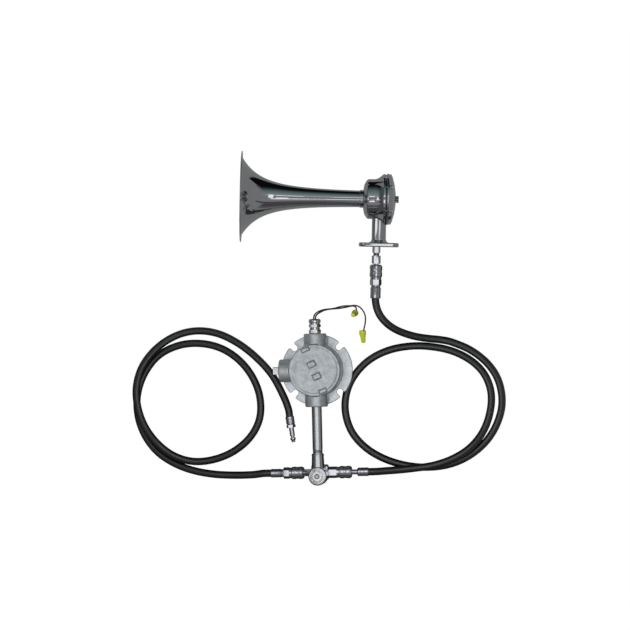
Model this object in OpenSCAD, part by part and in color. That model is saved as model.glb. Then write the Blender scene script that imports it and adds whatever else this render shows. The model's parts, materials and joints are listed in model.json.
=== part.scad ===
// Compressed-air horn set, laid out flat before fitting: a flared trumpet on a diaphragm chamber,
// two air hoses with sprung-sleeve quick couplers, a solenoid valve, and a round cast junction box
// on a stem of rigid conduit. Millimetres, +Z up, and everything rests on z = 0.

/* [Trumpet] */
// Radius of the bell's rim
bell_rim_r = 96; // [90:1:102]
// Width of the flat ring round the bell's mouth
bell_ring_w = 9.7; // [7:0.1:13]
// Thickness of the flat ring
bell_ring_t = 2; // [1.6:0.1:2.6]
// Length of the trumpet from its mouth to the sound chamber
trumpet_l = 257; // [246:1:268]
// Thickness of the trumpet's wall
trumpet_wall = 1.8; // [1.2:0.1:2.2]
// Radius of the trumpet's pipe, where the flare has died away
pipe_r = 16.5; // [15.5:0.1:17.5]
// Height of the slow flare at the mouth
flare_rise = 41.8; // [38:0.2:46]
// Length over which the slow flare fades
flare_fade = 65.6; // [58:0.2:72]
// Length over which the quick flare at the lip fades
lip_fade = 25; // [20:0.5:30]
// Length of the clamping collar where the trumpet meets the chamber
collar_l = 7; // [5:0.5:10]
// Thickness of the clamping collar's wall
collar_wall = 3.2; // [2.4:0.2:4.4]

/* [Sound chamber] */
// Radius of the chamber's front barrel
barrel_r = 42; // [40:0.5:44]
// Length of the front barrel
barrel_l = 29; // [26:0.5:32]
// Length of the concave rise up to the clamping ring
rise_l = 13.5; // [11:0.5:16]
// Radius of the chamber's clamping ring
ring_r = 53; // [52:0.5:54]
// Thickness of the clamping ring
ring_l = 5; // [4.5:0.5:7]
// Radius of the air space inside the chamber
cavity_r = 36; // [34:0.5:37]
// Thickness of the chamber's front wall
front_wall = 13; // [11:0.5:15]
// Radius of the diaphragm
diaphragm_r = 45.5; // [44:0.5:46.5]
// Thickness of the diaphragm
diaphragm_t = 0.4; // [0.3:0.1:0.6]
// Thickness of each diaphragm gasket
gasket_t = 0.8; // [0.6:0.1:1.2]
// Outer radius of the throat nozzle
nozzle_r = 17.5; // [16:0.5:19]
// Radius of the throat nozzle's mouth at the diaphragm
nozzle_mouth_r = 12; // [10.5:0.5:13]

/* [Rear cover] */
// Radius of the rear cover
cover_r = 54; // [53.5:0.5:56]
// Thickness of the rear cover's edge
cover_edge = 4; // [3:0.5:5]
// Length of the rear cover
cover_l = 19.7; // [18.5:0.1:22]
// Radius at the top of the cover's slanted band
cover_top_r = 47.5; // [46:0.5:48.5]
// Length of the slanted band
band_l = 7; // [6:0.5:8]
// Thickness of the cover's dome
cover_wall = 4; // [3:0.5:5]
// Number of cover screws
cover_screws = 6; // [4:1:8]
// Radius of the circle of cover screws
screw_circle_r = 49.3; // [49:0.1:49.8]
// Radius of a cover screw's shank
screw_r = 2; // [1.5:0.1:2.1]
// Radius of a cover screw's head
screw_head_r = 3.4; // [3:0.1:3.7]
// Height of a cover screw's head
screw_head_h = 4; // [3:0.5:5]
// Corner radius of the rear plug's hexagon
rear_hex_r = 8.3; // [7.5:0.1:9]
// Height of the rear plug's hexagon
rear_hex_h = 6; // [5:0.5:8]

/* [Pedestal and flange] */
// Radius of the pedestal
pedestal_r = 15; // [14:0.5:17]
// Distance from the horn's axis to the flange's face
flange_drop = 100.4; // [96:0.1:106]
// Thickness of the flange
flange_t = 9; // [7.5:0.5:10]
// Length of the flange along the horn
flange_l = 82.5; // [78:0.5:86]
// Depth of the flange across the horn
flange_w = 101; // [98:1:104]
// Radius of the flange's corners
flange_corner_r = 14; // [11:0.5:18]
// Rounding of the flange's edge
flange_edge_r = 2.6; // [2:0.2:3.4]
// Radius of the fillet between pedestal and flange
pedestal_fillet = 8; // [5:0.5:10]
// Diameter of the flange's bolt circle
flange_pcd = 79.2; // [76:0.2:82]
// Radius of the flange's bolt holes
flange_hole_r = 4.25; // [3.5:0.25:5]
// Radius of the air passage up the pedestal
air_bore_r = 5; // [4:0.5:6]
// How far the air inlet sits ahead of the pedestal's axis
inlet_offset = 4.4; // [0:0.2:5]

/* [Couplers] */
// Radius of a coupler's sleeve
sleeve_r = 13.3; // [13:0.1:14]
// Length of a coupler's sleeve
sleeve_l = 26.5; // [25.5:0.5:27.5]
// Thickness of the sleeve's wall
sleeve_wall = 1.7; // [1.4:0.1:2]
// How far the sleeve is pulled back to release a plug
sleeve_travel = 4.2; // [3.6:0.2:4.4]
// Corner radius of a coupler's hexagonal collar
coupler_hex_r = 12.3; // [12:0.1:13]
// Length of the collar on the hose couplers
coupler_hex_l = 12.6; // [11:0.2:15]
// Length of the collar on the outlet coupler
outlet_hex_l = 18; // [16:0.5:20]
// Radius of a plug's shoulder
plug_r = 5.9; // [5.8:0.05:6]
// Radius of a plug's shank
plug_shank_r = 5.3; // [5:0.1:5.5]
// Radius of a plug's tip
plug_tip_r = 3.9; // [3.7:0.1:4.1]
// Radius of a lock ball
ball_r = 2; // [1.9:0.05:2.05]
// Number of lock balls in a coupler
ball_count = 4; // [3:1:6]
// Thickness of the socket tube's wall
socket_wall = 2.5; // [2.3:0.1:2.7]
// Radius of the sleeve spring's wire
spring_wire_r = 0.6; // [0.5:0.05:0.65]
// Number of curls in a sleeve spring
spring_curls = 5; // [4:1:5]
// Radius of the air bore through plugs and ferrules
line_bore_r = 3; // [2.5:0.1:3.2]
// Radius of the threaded tails that screw into a port
tail_r = 6.25; // [6.1:0.05:6.4]

/* [Hoses] */
// Radius of an air hose
hose_r = 8; // [7.6:0.1:8]
// Length of a hose ferrule
ferrule_l = 24; // [22:1:26]
// Radius of the ferrule on the horn's coupler
horn_ferrule_r = 11; // [10.5:0.1:11.5]
// Radius of the other ferrules
ferrule_r = 9.2; // [9:0.1:9.8]
// Depth of a hose end inside its ferrule
hose_grip = 6; // [4:0.5:8]

/* [Junction box] */
// Radius of the box's mounting flange
box_flange_r = 76; // [74:0.5:79]
// Thickness of the mounting flange
box_flange_t = 6; // [5:0.5:8]
// Width of an open mounting slot
slot_w = 13; // [11:0.5:14]
// Radius at which a slot's round end is centred
slot_r = 67; // [66:0.5:69]
// Radius of the box's body
box_r = 55.5; // [55:0.5:58]
// Radius of the space inside the box
box_cavity_r = 47; // [45:0.5:48]
// Height of the box above its back
box_h = 45; // [44:0.5:47]
// Thickness of the box's floor
box_floor = 5; // [4:0.5:7]
// Radius of the threaded hubs
hub_r = 24; // [23:0.5:24]
// Distance from the box's axis to a hub's end
hub_reach = 77.5; // [76:0.5:80]
// Height of the back of the box above the ground
box_back_z = 18.4; // [18.2:0.1:19.5]

/* [Box cover] */
// Radius of the cover's flange
lid_r = 54.5; // [53.5:0.5:55]
// Thickness of the cover's flange
lid_t = 4; // [3:0.5:5]
// Radius of the cover's threaded plug
lid_plug_r = 50; // [49.5:0.1:50.5]
// Depth of the cover's threaded plug
lid_plug_l = 8; // [6:0.5:10]
// Width of the raised ring round the cover
lid_ring_w = 4.5; // [3:0.5:7]
// Height of the raised ring
lid_ring_h = 1; // [0.6:0.1:2]
// Width of a wrench lug
lug_w = 17.5; // [15:0.5:20]
// Length of a wrench lug along the row
lug_l = 12.6; // [11:0.2:14]
// Height of a wrench lug
lug_h = 7; // [5:0.5:9]
// Distance of the inner lugs from the cover's centre
lug_inner = 13.8; // [12:0.2:16]
// Distance of the outer lugs from the cover's centre
lug_outer = 47.3; // [45:0.1:48]
// Length of the outer lugs, along the row (mm)
lug_outer_l = 9; // [7:0.5:10]
// Angle of the row of lugs from the conduit's line
lug_angle = 22; // [0:1:45]
// Rise of the cover for one turn of its thread
lid_pitch = 1.5; // [1:0.25:2]
// Thickness of the cover's sealing ring
lid_seal_d = 2.6; // [2.2:0.1:3]

/* [Conduit and gland] */
// Outer radius of the conduit
conduit_r = 10.65; // [10.5:0.05:10.8]
// Thickness of the conduit's wall
conduit_wall = 2.4; // [1.8:0.1:2.8]
// Bare length of conduit between box and valve
conduit_l = 99.5; // [95:0.5:106]
// Side of the square head on the hub plug
plug_head_w = 16.2; // [14:0.2:18]
// Length of the square head on the hub plug
plug_head_l = 13.6; // [11:0.2:16]
// Corner radius of the cable gland's hexagon
gland_hex_r = 13; // [12:0.1:14]
// Radius of the gland nut's domed end
gland_nose_r = 10.5; // [9.5:0.1:11]
// Length of the gland's hexagon
gland_hex_l = 8; // [7:0.5:10]
// Length of the gland's nut
gland_nut_l = 18; // [16:0.5:20]

/* [Wires] */
// Radius of a wire
wire_r = 1.6; // [1.3:0.05:1.7]
// Distance between the two wires in the gland
wire_gap = 3.8; // [3.6:0.1:4.4]
// Length of a wire nut
nut_l = 26.5; // [24:0.5:28]
// Radius of a wire nut's mouth
nut_mouth_r = 7.2; // [6.8:0.1:7.6]
// Radius of a wire nut's tip
nut_tip_r = 4.3; // [4:0.1:4.8]

/* [Valve] */
// Height of the valve's ports above the ground
port_z = 14; // [13.8:0.1:15]
// Length of the valve's body between its ports
valve_l = 38; // [36:0.5:40]
// Depth of the valve's body
valve_w = 33; // [31:0.5:36]
// Height of the valve's body
valve_h = 25; // [24.5:0.5:27]
// Radius of the space above the valve seat
seat_room_r = 12; // [11:0.5:13]
// Radius of the hole in the valve seat
seat_bore_r = 4; // [3.5:0.1:4.3]
// Radius of the solenoid's housing
solenoid_r = 19.6; // [19:0.1:21]
// Height of the solenoid's housing
solenoid_h = 31; // [30:0.5:34]
// Thickness of the solenoid housing's wall
solenoid_wall = 1.8; // [1.4:0.1:2.2]
// Radius of the hub that takes the conduit, at its end
conduit_hub_r = 12.5; // [12.2:0.1:13]
// Radius of the hub where it meets the housing
conduit_hub_root_r = 13.6; // [13:0.1:14]
// Length of the hub from its end to the housing's axis
conduit_hub_l = 47; // [44:0.5:49]
// Depth of the conduit in the hub
conduit_grip = 14; // [11:0.5:16]
// Radius of the plunger
plunger_r = 5.4; // [5:0.1:5.8]
// Travel of the plunger
plunger_travel = 2.2; // [1.6:0.1:2.6]
// Corner radius of the retaining nut
top_nut_r = 10.5; // [10:0.1:11]
// Height of the retaining nut
top_nut_h = 6; // [5:0.5:7]

/* [Clearances] */
// Gap round a fixed fit
fit_gap = 0.05; // [0.02:0.01:0.08]
// Gap round a sliding fit
slide_gap = 0.06; // [0.03:0.01:0.09]
// Gap between neighbours that do not touch
free_gap = 0.3; // [0.2:0.05:0.4]

/* [Hidden] */
$fn = 48;
eps = 0.01;

// Finishes
CHROME = "#c8ccd1";
STEEL = "#9aa0a6";
BRASS = "#b8a05a";
CAST = "#b4b7b9";
RUBBER = "#202124";
WIRE_NUT = "#c3cf3a";
COPPER = "#a8623a";

// Places of the horn's pieces along its axis, from the bell's mouth
rise_start = trumpet_l + barrel_l;
ring_start = rise_start + rise_l;
ring_end = ring_start + ring_l;
diaphragm_x = ring_end + gasket_t;
cover_start = diaphragm_x + diaphragm_t + gasket_t;
cover_end = cover_start + cover_l;
cavity_start = trumpet_l + front_wall;
tail_l = front_wall - 5;
pedestal_x = rise_start + 5.8;
inlet_x = pedestal_x - inlet_offset;

// The horn lies on its bell's rim, its cover's edge and one corner of the flange
horn_place = [-144.5, 249.3];
horn_yaw = -1.15;
horn_tilt = atan2(bell_rim_r - cover_r, cover_start + cover_edge - bell_ring_t);
mouth_z = bell_ring_t * sin(horn_tilt) + bell_rim_r * cos(horn_tilt);
flange_foot = flange_drop - flange_edge_r;
flange_side = flange_w / 2;
flange_rear = pedestal_x + flange_l / 2 - flange_corner_r;
foot_height = (mouth_z - flange_rear * sin(horn_tilt)) / cos(horn_tilt) - 0.2;
foot_reach = norm([flange_foot, flange_side]);
horn_roll = foot_height < foot_reach
    ? max(0, asin(foot_height / foot_reach) - atan2(flange_side, flange_foot)) : 0;

// Couplers, from the front face of the socket
socket_r = plug_r + fit_gap;
socket_tube_r = socket_r + socket_wall;
land_r = socket_tube_r + slide_gap;
sleeve_room_r = sleeve_r - sleeve_wall;
coupler_shoulder_r = sleeve_room_r - slide_gap;
ball_circle_r = land_r - ball_r - fit_gap;
groove_r = ball_circle_r - ball_r - fit_gap;
ball_z = 5.5;
land_start = 3.4;
land_end = 9;
shoulder_z = 22;
hex_z = sleeve_l + sleeve_travel + free_gap;
nose_l = 17;
seal_z = 14.2;
seat_z = 19;
poppet_z = 23;
poppet_room_r = 7.5;
poppet_spring_z = 26;
poppet_spring_l = 11.5;
check_z = poppet_spring_z + poppet_spring_l;
plug_gap = 1.8;
nipple_hex_l = 12.6;
nipple_neck_l = 5.7;
horn_plug_hex_l = 17;
horn_front = nipple_hex_l + nipple_neck_l + horn_plug_hex_l + plug_gap;
supply_plug_hex_l = 13.2;
hose_shank_l = 12;
coupler_neck_l = 3.6;
stem_l = ferrule_l - hose_grip - 1;
stem_r = 4.6;

// The box, its conduit and the valve share one line, 0 at the box's axis and the valve at -y
line_place = [7.5, -116.6];
line_yaw = 1.35;
hub_z = box_back_z + hub_r;
box_top = box_back_z + box_h;
lid_z = box_top + free_gap;
conduit_end = hub_reach + conduit_l;
valve_y = -(conduit_end + conduit_hub_l - conduit_grip + 14);
port_y = valve_y + 6;
port_x = valve_l / 2;
supply_front = -(port_x + supply_plug_hex_l + plug_gap);
outlet_hex_end = hex_z + outlet_hex_l;
outlet_front = port_x + outlet_hex_end;
solenoid_z = valve_h + 2;
core_flange_t = 2;
plunger_z = port_z + 3;
plunger_l = 22;
pole_z = plunger_z + plunger_l + plunger_travel + fit_gap;
core_wall = 1.1;
core_top = solenoid_z + solenoid_h;
core_r = plunger_r + slide_gap;

// Middle of the whole set without its hoses and wires, which is the model's own origin
shift = [15.4, -7.45];

// Vector helpers
function unit(v) = v / norm(v);
function flat_dir(v) = unit([v[1], -v[0], 0]);
function turn_x(p, a) = [p[0], p[1] * cos(a) - p[2] * sin(a), p[1] * sin(a) + p[2] * cos(a)];
function turn_y(p, a) = [p[0] * cos(a) + p[2] * sin(a), p[1], p[2] * cos(a) - p[0] * sin(a)];
function turn_z(p, a) = [p[0] * cos(a) - p[1] * sin(a), p[0] * sin(a) + p[1] * cos(a), p[2]];
function line_point(p) = [line_place[0], line_place[1], 0] + turn_z(p, line_yaw);
function horn_point(p) =
    [horn_place[0], horn_place[1], mouth_z] + turn_z(turn_y(turn_x(p, horn_roll), horn_tilt), horn_yaw);

// An outline whose points may carry a rounding as their third number
function rounded(p, steps = 4) = [
    for (i = [0 : len(p) - 1])
        let (
            b = [p[i][0], p[i][1]],
            a = [for (k = [0, 1]) p[(i + len(p) - 1) % len(p)][k]],
            c = [for (k = [0, 1]) p[(i + 1) % len(p)][k]],
            r = len(p[i]) > 2 ? p[i][2] : 0,
            u = unit(a - b),
            w = unit(c - b),
            half = acos(u * w) / 2,
            centre = b + unit(u + w) * r / sin(half),
            first = b + u * r / tan(half) - centre,
            last = b + w * r / tan(half) - centre
        )
        each r == 0 ? [b] : [for (k = [0 : steps]) centre + r * unit(first + (last - first) * k / steps)]
];

// Rings of points round a route, joined into one closed tube
function ring(route, i, r, sides) =
    let (
        last = len(route) - 1,
        along = unit(route[min(i + 1, last)] - route[max(i - 1, 0)]),
        side = flat_dir(along),
        up = cross(side, along)
    )
    [for (k = [0 : sides - 1]) let (a = 360 * k / sides - 90) route[i] + r * (cos(a) * side + sin(a) * up)];

module tube(route, r, sides) {
    n = len(route);
    points = [for (i = [0 : n - 1]) each ring(route, i, r, sides)];
    walls = [
        for (i = [0 : n - 2], k = [0 : sides - 1])
            let (a = i * sides + k, b = i * sides + (k + 1) % sides)
            each [[a, b, b + sides], [a, b + sides, a + sides]]
    ];
    start_cap = [[for (k = [sides - 1 : -1 : 0]) k]];
    end_cap = [[for (k = [0 : sides - 1]) (n - 1) * sides + k]];
    polyhedron(points, [for (f = concat(start_cap, walls, end_cap)) [f[0], each [for (k = [len(f) - 1 : -1 : 1]) f[k]]]]);
}

// Points along a spring's wire, and the least gap between its curls
function helix(r, l, curls) = [for (i = [0 : 8 * curls]) [r * cos(45 * i), r * sin(45 * i), l * i / (8 * curls)]];
function self_gap(route, wire) = min([
    for (i = [0 : len(route) - 1], j = [i + 6 : 1 : len(route) - 1]) norm(route[i] - route[j])
]) - 2 * wire;

module spring(name, r, wire, l, curls) {
    route = helix(r, l - 2 * wire, curls);
    echo(str(name, " least gap between curls ", self_gap(route, wire)));
    translate([0, 0, wire]) coil_wire(route, wire);
}

// A spring's wire, swept with rings that stand across it
module coil_wire(route, r) {
    n = len(route);
    sides = 6;
    function wire_ring(i) =
        let (
            along = unit(route[min(i + 1, n - 1)] - route[max(i - 1, 0)]),
            out = unit([route[i][0], route[i][1], 0]),
            up = unit(cross(along, out)),
            across = cross(up, along)
        )
        [for (k = [0 : sides - 1]) route[i] + r * (cos(60 * k) * across + sin(60 * k) * up)];
    points = [for (i = [0 : n - 1]) each wire_ring(i)];
    faces = [
        [for (k = [0 : sides - 1]) k],
        for (i = [0 : n - 2], k = [0 : sides - 1])
            let (a = i * sides + k, b = i * sides + (k + 1) % sides)
            each [[a, b + sides, b], [a, a + sides, b + sides]],
        [for (k = [sides - 1 : -1 : 0]) (n - 1) * sides + k]
    ];
    polyhedron(points, faces);
}

module turned(outline, steps = 4) rotate_extrude() polygon(rounded(outline, steps));
module along_horn() rotate([0, 90, 0]) children();
module ring_of(n, r) for (i = [0 : n - 1]) rotate(360 * i / n) translate([r, 0, 0]) children();

// A hexagonal prism with its corners turned down at both ends
module hexagon(r, l) {
    bevel = r * 0.09;
    intersection() {
        cylinder(r = r, h = l, $fn = 6);
        turned([[0, 0], [r - bevel, 0], [r, bevel], [r, l - bevel], [r - bevel, l], [0, l]]);
    }
}

// Places
module set_down() translate([-shift[0], -shift[1], 0]) children();
module at_horn() set_down() translate([horn_place[0], horn_place[1], mouth_z])
    rotate([horn_roll, horn_tilt, horn_yaw]) children();
module at_line() set_down() translate([line_place[0], line_place[1], 0]) rotate(line_yaw) children();
module at_box() at_line() translate([0, 0, box_back_z]) children();
module at_valve() at_line() translate([0, valve_y, 0]) children();
module at_inlet(d) at_horn() translate([inlet_x, -flange_drop - d, 0]) rotate([90, 0, 0]) children();
module at_horn_coupler() at_inlet(horn_front) children();
module at_supply_coupler() at_line() translate([supply_front, port_y, port_z]) rotate([0, -90, 0]) children();
module at_outlet_coupler() at_line() translate([outlet_front, port_y, port_z]) rotate([0, -90, 0]) children();
module at_couplers() {
    at_horn_coupler() children();
    at_supply_coupler() children();
    at_outlet_coupler() children();
}

// Trumpet
lip_rise = bell_rim_r - bell_ring_w - pipe_r - flare_rise;
function flare(s) = pipe_r + flare_rise * exp(-s / flare_fade) + lip_rise * exp(-s / lip_fade);
function slope(s) = -flare_rise / flare_fade * exp(-s / flare_fade) - lip_rise / lip_fade * exp(-s / lip_fade);
flare_steps = 22;
flare_places = [for (i = [0 : flare_steps]) bell_ring_t + (trumpet_l - bell_ring_t) * pow(i / flare_steps, 1.7)];
trumpet_end_r = flare(trumpet_l);
throat_r = trumpet_end_r - trumpet_wall;

module trumpet() color(CHROME) at_horn() along_horn() {
    outer = [for (s = flare_places) [flare(s), s]];
    inner = [
        for (i = [flare_steps - 1 : -1 : 0])
            let (s = flare_places[i], k = trumpet_wall / sqrt(1 + pow(slope(s), 2)))
            [flare(s) - k, s + k * slope(s)]
    ];
    rotate_extrude() polygon(concat(
        [[bell_rim_r - 0.6, 0], [bell_rim_r, 0.6], [bell_rim_r, bell_ring_t]],
        outer,
        [[trumpet_end_r, trumpet_l + tail_l], [throat_r, trumpet_l + tail_l], [throat_r, trumpet_l]],
        inner,
        [[flare(0) - trumpet_wall, 0]]
    ));
}

module trumpet_collar() color(CHROME) at_horn() along_horn() translate([0, 0, trumpet_l - collar_l]) {
    bore = flare(trumpet_l - collar_l) + fit_gap;
    edge = bore + collar_wall;
    turned([[bore, 0], [edge, 0, 1], [edge, collar_l], [bore, collar_l]]);
}

// Sound chamber with its pedestal and flange, in one casting
module horn_body() color(CHROME) at_horn() difference() {
    union() {
        along_horn() chamber_outside();
        translate([pedestal_x, -flange_drop, 0]) rotate([-90, 0, 0]) pedestal();
        translate([pedestal_x, -flange_drop, 0]) rotate([-90, 0, 0]) flange();
    }
    along_horn() {
        translate([0, 0, trumpet_l - eps]) cylinder(r = trumpet_end_r + fit_gap, h = front_wall + 2 * eps);
        translate([0, 0, cavity_start]) cylinder(r = cavity_r, h = ring_end - cavity_start + eps);
        translate([0, 0, ring_end]) cylinder(r = cover_r + free_gap, h = cover_l);
        translate([0, 0, ring_end - screw_depth]) cover_screw_circle() cylinder(r = screw_r + fit_gap, h = screw_depth + eps);
    }
    translate([inlet_x, -flange_drop, 0]) rotate([-90, 0, 0]) {
        translate([0, 0, -eps]) cylinder(r = air_bore_r, h = flange_drop - cavity_r / 2);
        translate([0, 0, -eps]) cylinder(r = tail_r + fit_gap, h = port_depth);
        translate([0, 0, -eps]) cylinder(r = nipple_hex_r + 1.2, h = spot_face);
    }
    translate([pedestal_x, -flange_drop, 0]) rotate([-90, 0, 0]) rotate(45) ring_of(4, flange_pcd / 2)
        translate([0, 0, -eps]) cylinder(r = flange_hole_r, h = flange_t + 2 * eps);
}

port_depth = 12;
spot_face = 0.8;
nipple_hex_r = tail_r + 2.25;
screw_depth = 4;
rise_steps = 6;

module chamber_outside() {
    rise = [
        for (i = [0 : rise_steps])
            [barrel_r + 0.5 + (ring_r - barrel_r - 0.5) * (1 - cos(78 * i / rise_steps)) / (1 - cos(78)), rise_start + rise_l * i / rise_steps]
    ];
    rotate_extrude() polygon(rounded(concat(
        [[0, trumpet_l], [trumpet_end_r + 3, trumpet_l], [barrel_r - 11, trumpet_l + 2.5, 5], [barrel_r, trumpet_l + 9, 7]],
        rise,
        [[ring_r, ring_end], [0, ring_end]]
    )));
}

module cover_screw_circle() rotate(180 / cover_screws) ring_of(cover_screws, screw_circle_r) children();

module pedestal() {
    l = flange_drop;
    f = pedestal_fillet;
    foot = [for (a = [0 : 15 : 90]) [pedestal_r + f - f * sin(a), flange_t + f - f * cos(a)]];
    rotate_extrude() polygon(concat([[0, 1], [pedestal_r + f, 1]], foot, [[pedestal_r, l - barrel_r / 2], [0, l - barrel_r / 2]]));
}

module flange() {
    dx = flange_l / 2 - flange_corner_r;
    dy = flange_w / 2 - flange_corner_r;
    e = flange_edge_r;
    hull() for (x = [-dx, dx], y = [-dy, dy]) translate([x, y, 0]) rotate_extrude($fn = 32) polygon(rounded([
        [0, 0], [flange_corner_r, 0, e], [flange_corner_r, flange_t, e], [0, flange_t]
    ], 3));
}

module throat_nozzle() color(STEEL) at_horn() along_horn() {
    start = trumpet_l + tail_l + fit_gap;
    end = diaphragm_x - fit_gap;
    seat = trumpet_end_r + 3;
    rotate_extrude() polygon([
        [throat_r, start], [trumpet_end_r, start], [trumpet_end_r, cavity_start], [seat, cavity_start],
        [seat, cavity_start + 3], [nozzle_r, cavity_start + 3], [nozzle_r, end - 3],
        [nozzle_mouth_r + 1, end], [nozzle_mouth_r, end]
    ]);
}

module diaphragm() color(STEEL) at_horn() along_horn() translate([0, 0, diaphragm_x]) union() {
    cylinder(r = diaphragm_r, h = diaphragm_t);
    cylinder(r = nozzle_mouth_r - 2, h = diaphragm_t + 0.8);
}

module diaphragm_gaskets() color(RUBBER) at_horn() along_horn() for (x = [ring_end, diaphragm_x + diaphragm_t])
    translate([0, 0, x]) difference() {
        cylinder(r = diaphragm_r, h = gasket_t);
        translate([0, 0, -eps]) cylinder(r = cavity_r, h = gasket_t + 2 * eps);
    }

// Rear cover: an edge ring, a slanted band and a shallow cone
cover_boss_r = 13;
rear_bore_r = 5;
head_z = cover_start + cover_edge + 2;

module rear_cover() color(CHROME) at_horn() along_horn() difference() {
    edge_z = cover_start + cover_edge;
    top_z = edge_z + band_l;
    turned([
        [0, cover_start], [cover_r, cover_start, 0.6], [cover_r, edge_z, 1.5], [cover_top_r, top_z, 2.5],
        [cover_boss_r, cover_end - 0.6, 1.5], [0, cover_end - 0.2]
    ]);
    rotate_extrude() polygon([
        [0, cover_start - eps], [cavity_r, cover_start - eps], [cavity_r, top_z - cover_wall],
        [cover_boss_r, cover_end - cover_wall - 3], [0, cover_end - cover_wall - 3]
    ]);
    cylinder(r = rear_bore_r + fit_gap, h = cover_end + 1);
    cover_screw_circle() {
        translate([0, 0, cover_start - 1]) cylinder(r = screw_r + fit_gap, h = cover_l);
        translate([0, 0, head_z]) cylinder(r = screw_head_r + free_gap, h = cover_l);
    }
}

module rear_cover_screws() color(STEEL) at_horn() along_horn() cover_screw_circle() difference() {
    union() {
        translate([0, 0, ring_end - screw_depth + free_gap]) cylinder(r = screw_r, h = head_z - ring_end + screw_depth);
        translate([0, 0, head_z]) turned([[0, 0], [screw_head_r, 0], [screw_head_r, screw_head_h, 0.6], [0, screw_head_h]]);
    }
    translate([0, 0, head_z + screw_head_h - 2]) cylinder(r = screw_head_r * 0.55, h = 3, $fn = 6);
}

module rear_plug() color(STEEL) at_horn() along_horn() translate([0, 0, cover_end - 0.2]) union() {
    hexagon(rear_hex_r, rear_hex_h);
    translate([0, 0, -cover_wall - 2]) cylinder(r = rear_bore_r, h = cover_wall + 3);
}

module inlet_nipple() color(CHROME) at_inlet(0) difference() {
    union() {
        translate([0, 0, -spot_face]) hexagon(nipple_hex_r, nipple_hex_l + spot_face);
        translate([0, 0, -port_depth + 0.5]) cylinder(r = tail_r, h = port_depth);
    }
    translate([0, 0, -port_depth]) cylinder(r = line_bore_r, h = port_depth + nipple_hex_l + 1);
    translate([0, 0, nipple_hex_l - 8]) cylinder(r = tail_r + fit_gap, h = 9);
}

// A plug's nose with its locking groove. Behind the shank come a hexagon and a tail.
module plug(hex_r, hex_l, shank_l, rear_r, rear_l) difference() {
    union() {
        turned([
            [0, -shank_l - eps], [plug_shank_r, -shank_l - eps], [plug_shank_r, ball_z - ball_r - 0.6, 0.5],
            [groove_r, ball_z - 1.4], [groove_r, ball_z + 1.4], [plug_r, ball_z + ball_r, 0.4],
            [plug_r, ball_z + 5, 0.4], [plug_tip_r, ball_z + 8], [plug_tip_r, nose_l, 0.6], [0, nose_l]
        ]);
        if (hex_l > 0) translate([0, 0, -shank_l - hex_l]) hexagon(hex_r, hex_l);
        translate([0, 0, -shank_l - hex_l - rear_l]) cylinder(r = rear_r, h = rear_l + 1);
    }
    translate([0, 0, -shank_l - hex_l - rear_l - 1]) cylinder(r = line_bore_r * 0.8, h = 60);
}

module horn_plug() color(CHROME) at_horn_coupler()
    plug(9.5, horn_plug_hex_l, plug_gap, tail_r, nipple_neck_l + 7.5);

module supply_plug() color(CHROME) at_supply_coupler() plug(8.6, supply_plug_hex_l, plug_gap, tail_r, valve_thread_l - 0.5);

module outlet_plug() color(CHROME) at_outlet_coupler() plug(0, 0, hose_shank_l, stem_r, stem_l);

// A coupler's body: the socket tube, the shoulder that guides the sleeve, and the hexagonal collar
module coupler(hex_l, neck_r, neck_l, rear_r, rear_l) {
    hex_end = hex_z + hex_l;
    neck_end = hex_end + neck_l;
    difference() {
        union() {
            turned([[0, 0], [socket_tube_r, 0, 0.5], [socket_tube_r, shoulder_z], [0, shoulder_z]]);
            translate([0, 0, land_start - 1.5]) cylinder(r = socket_tube_r + 1.2, h = 1.2);
            translate([0, 0, shoulder_z - eps]) cylinder(r = coupler_shoulder_r, h = hex_z - shoulder_z + 2 * eps);
            translate([0, 0, hex_z]) hexagon(coupler_hex_r, hex_l);
            translate([0, 0, hex_end - 1]) cylinder(r = neck_r, h = neck_l + 1);
            translate([0, 0, neck_end - 1]) cylinder(r = rear_r, h = rear_l + 1);
        }
        translate([0, 0, -1]) cylinder(r = socket_r, h = seat_z + 1);
        translate([0, 0, seat_z - 1]) cylinder(r = plug_tip_r + 0.6, h = 4);
        translate([0, 0, seat_z + 2]) cylinder(r = poppet_room_r, h = check_z - seat_z - 2);
        translate([0, 0, seat_z]) cylinder(r = line_bore_r, h = 80);
        translate([0, 0, ball_z]) ring_of(ball_count, 0) rotate([0, 90, 0]) cylinder(r = ball_r + fit_gap, h = socket_tube_r + 2);
    }
}

module horn_coupler() color(CHROME) at_horn_coupler() coupler(coupler_hex_l, horn_ferrule_r - 1.2, coupler_neck_l, stem_r, stem_l);
module supply_coupler() color(CHROME) at_supply_coupler() coupler(coupler_hex_l, ferrule_r - 0.6, coupler_neck_l, stem_r, stem_l);
module outlet_coupler() color(CHROME) at_outlet_coupler() coupler(outlet_hex_l, tail_r, 0, tail_r, valve_thread_l - 0.5);

// A sleeve: straight-knurled bands at both ends of a plain waist, and the land that holds the balls in
module sleeve() difference() {
    union() {
        turned([
            [0, 0], [sleeve_r - 2.6, 0, 0.4], [sleeve_r - 0.5, 2.4, 0.8], [sleeve_r - 0.5, sleeve_l - 1.2, 0.5],
            [sleeve_r - 1.7, sleeve_l], [0, sleeve_l]
        ]);
        for (z = [3.6, sleeve_l - knurl_l - 2]) translate([0, 0, z]) knurl();
    }
    translate([0, 0, -1]) cylinder(r = socket_tube_r + 1.9, h = land_start + 1);
    cylinder(r = land_r, h = land_end + 1);
    translate([0, 0, land_end]) cylinder(r = sleeve_room_r, h = sleeve_l);
}

knurl_l = 7;
knurl_ridges = 30;

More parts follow.
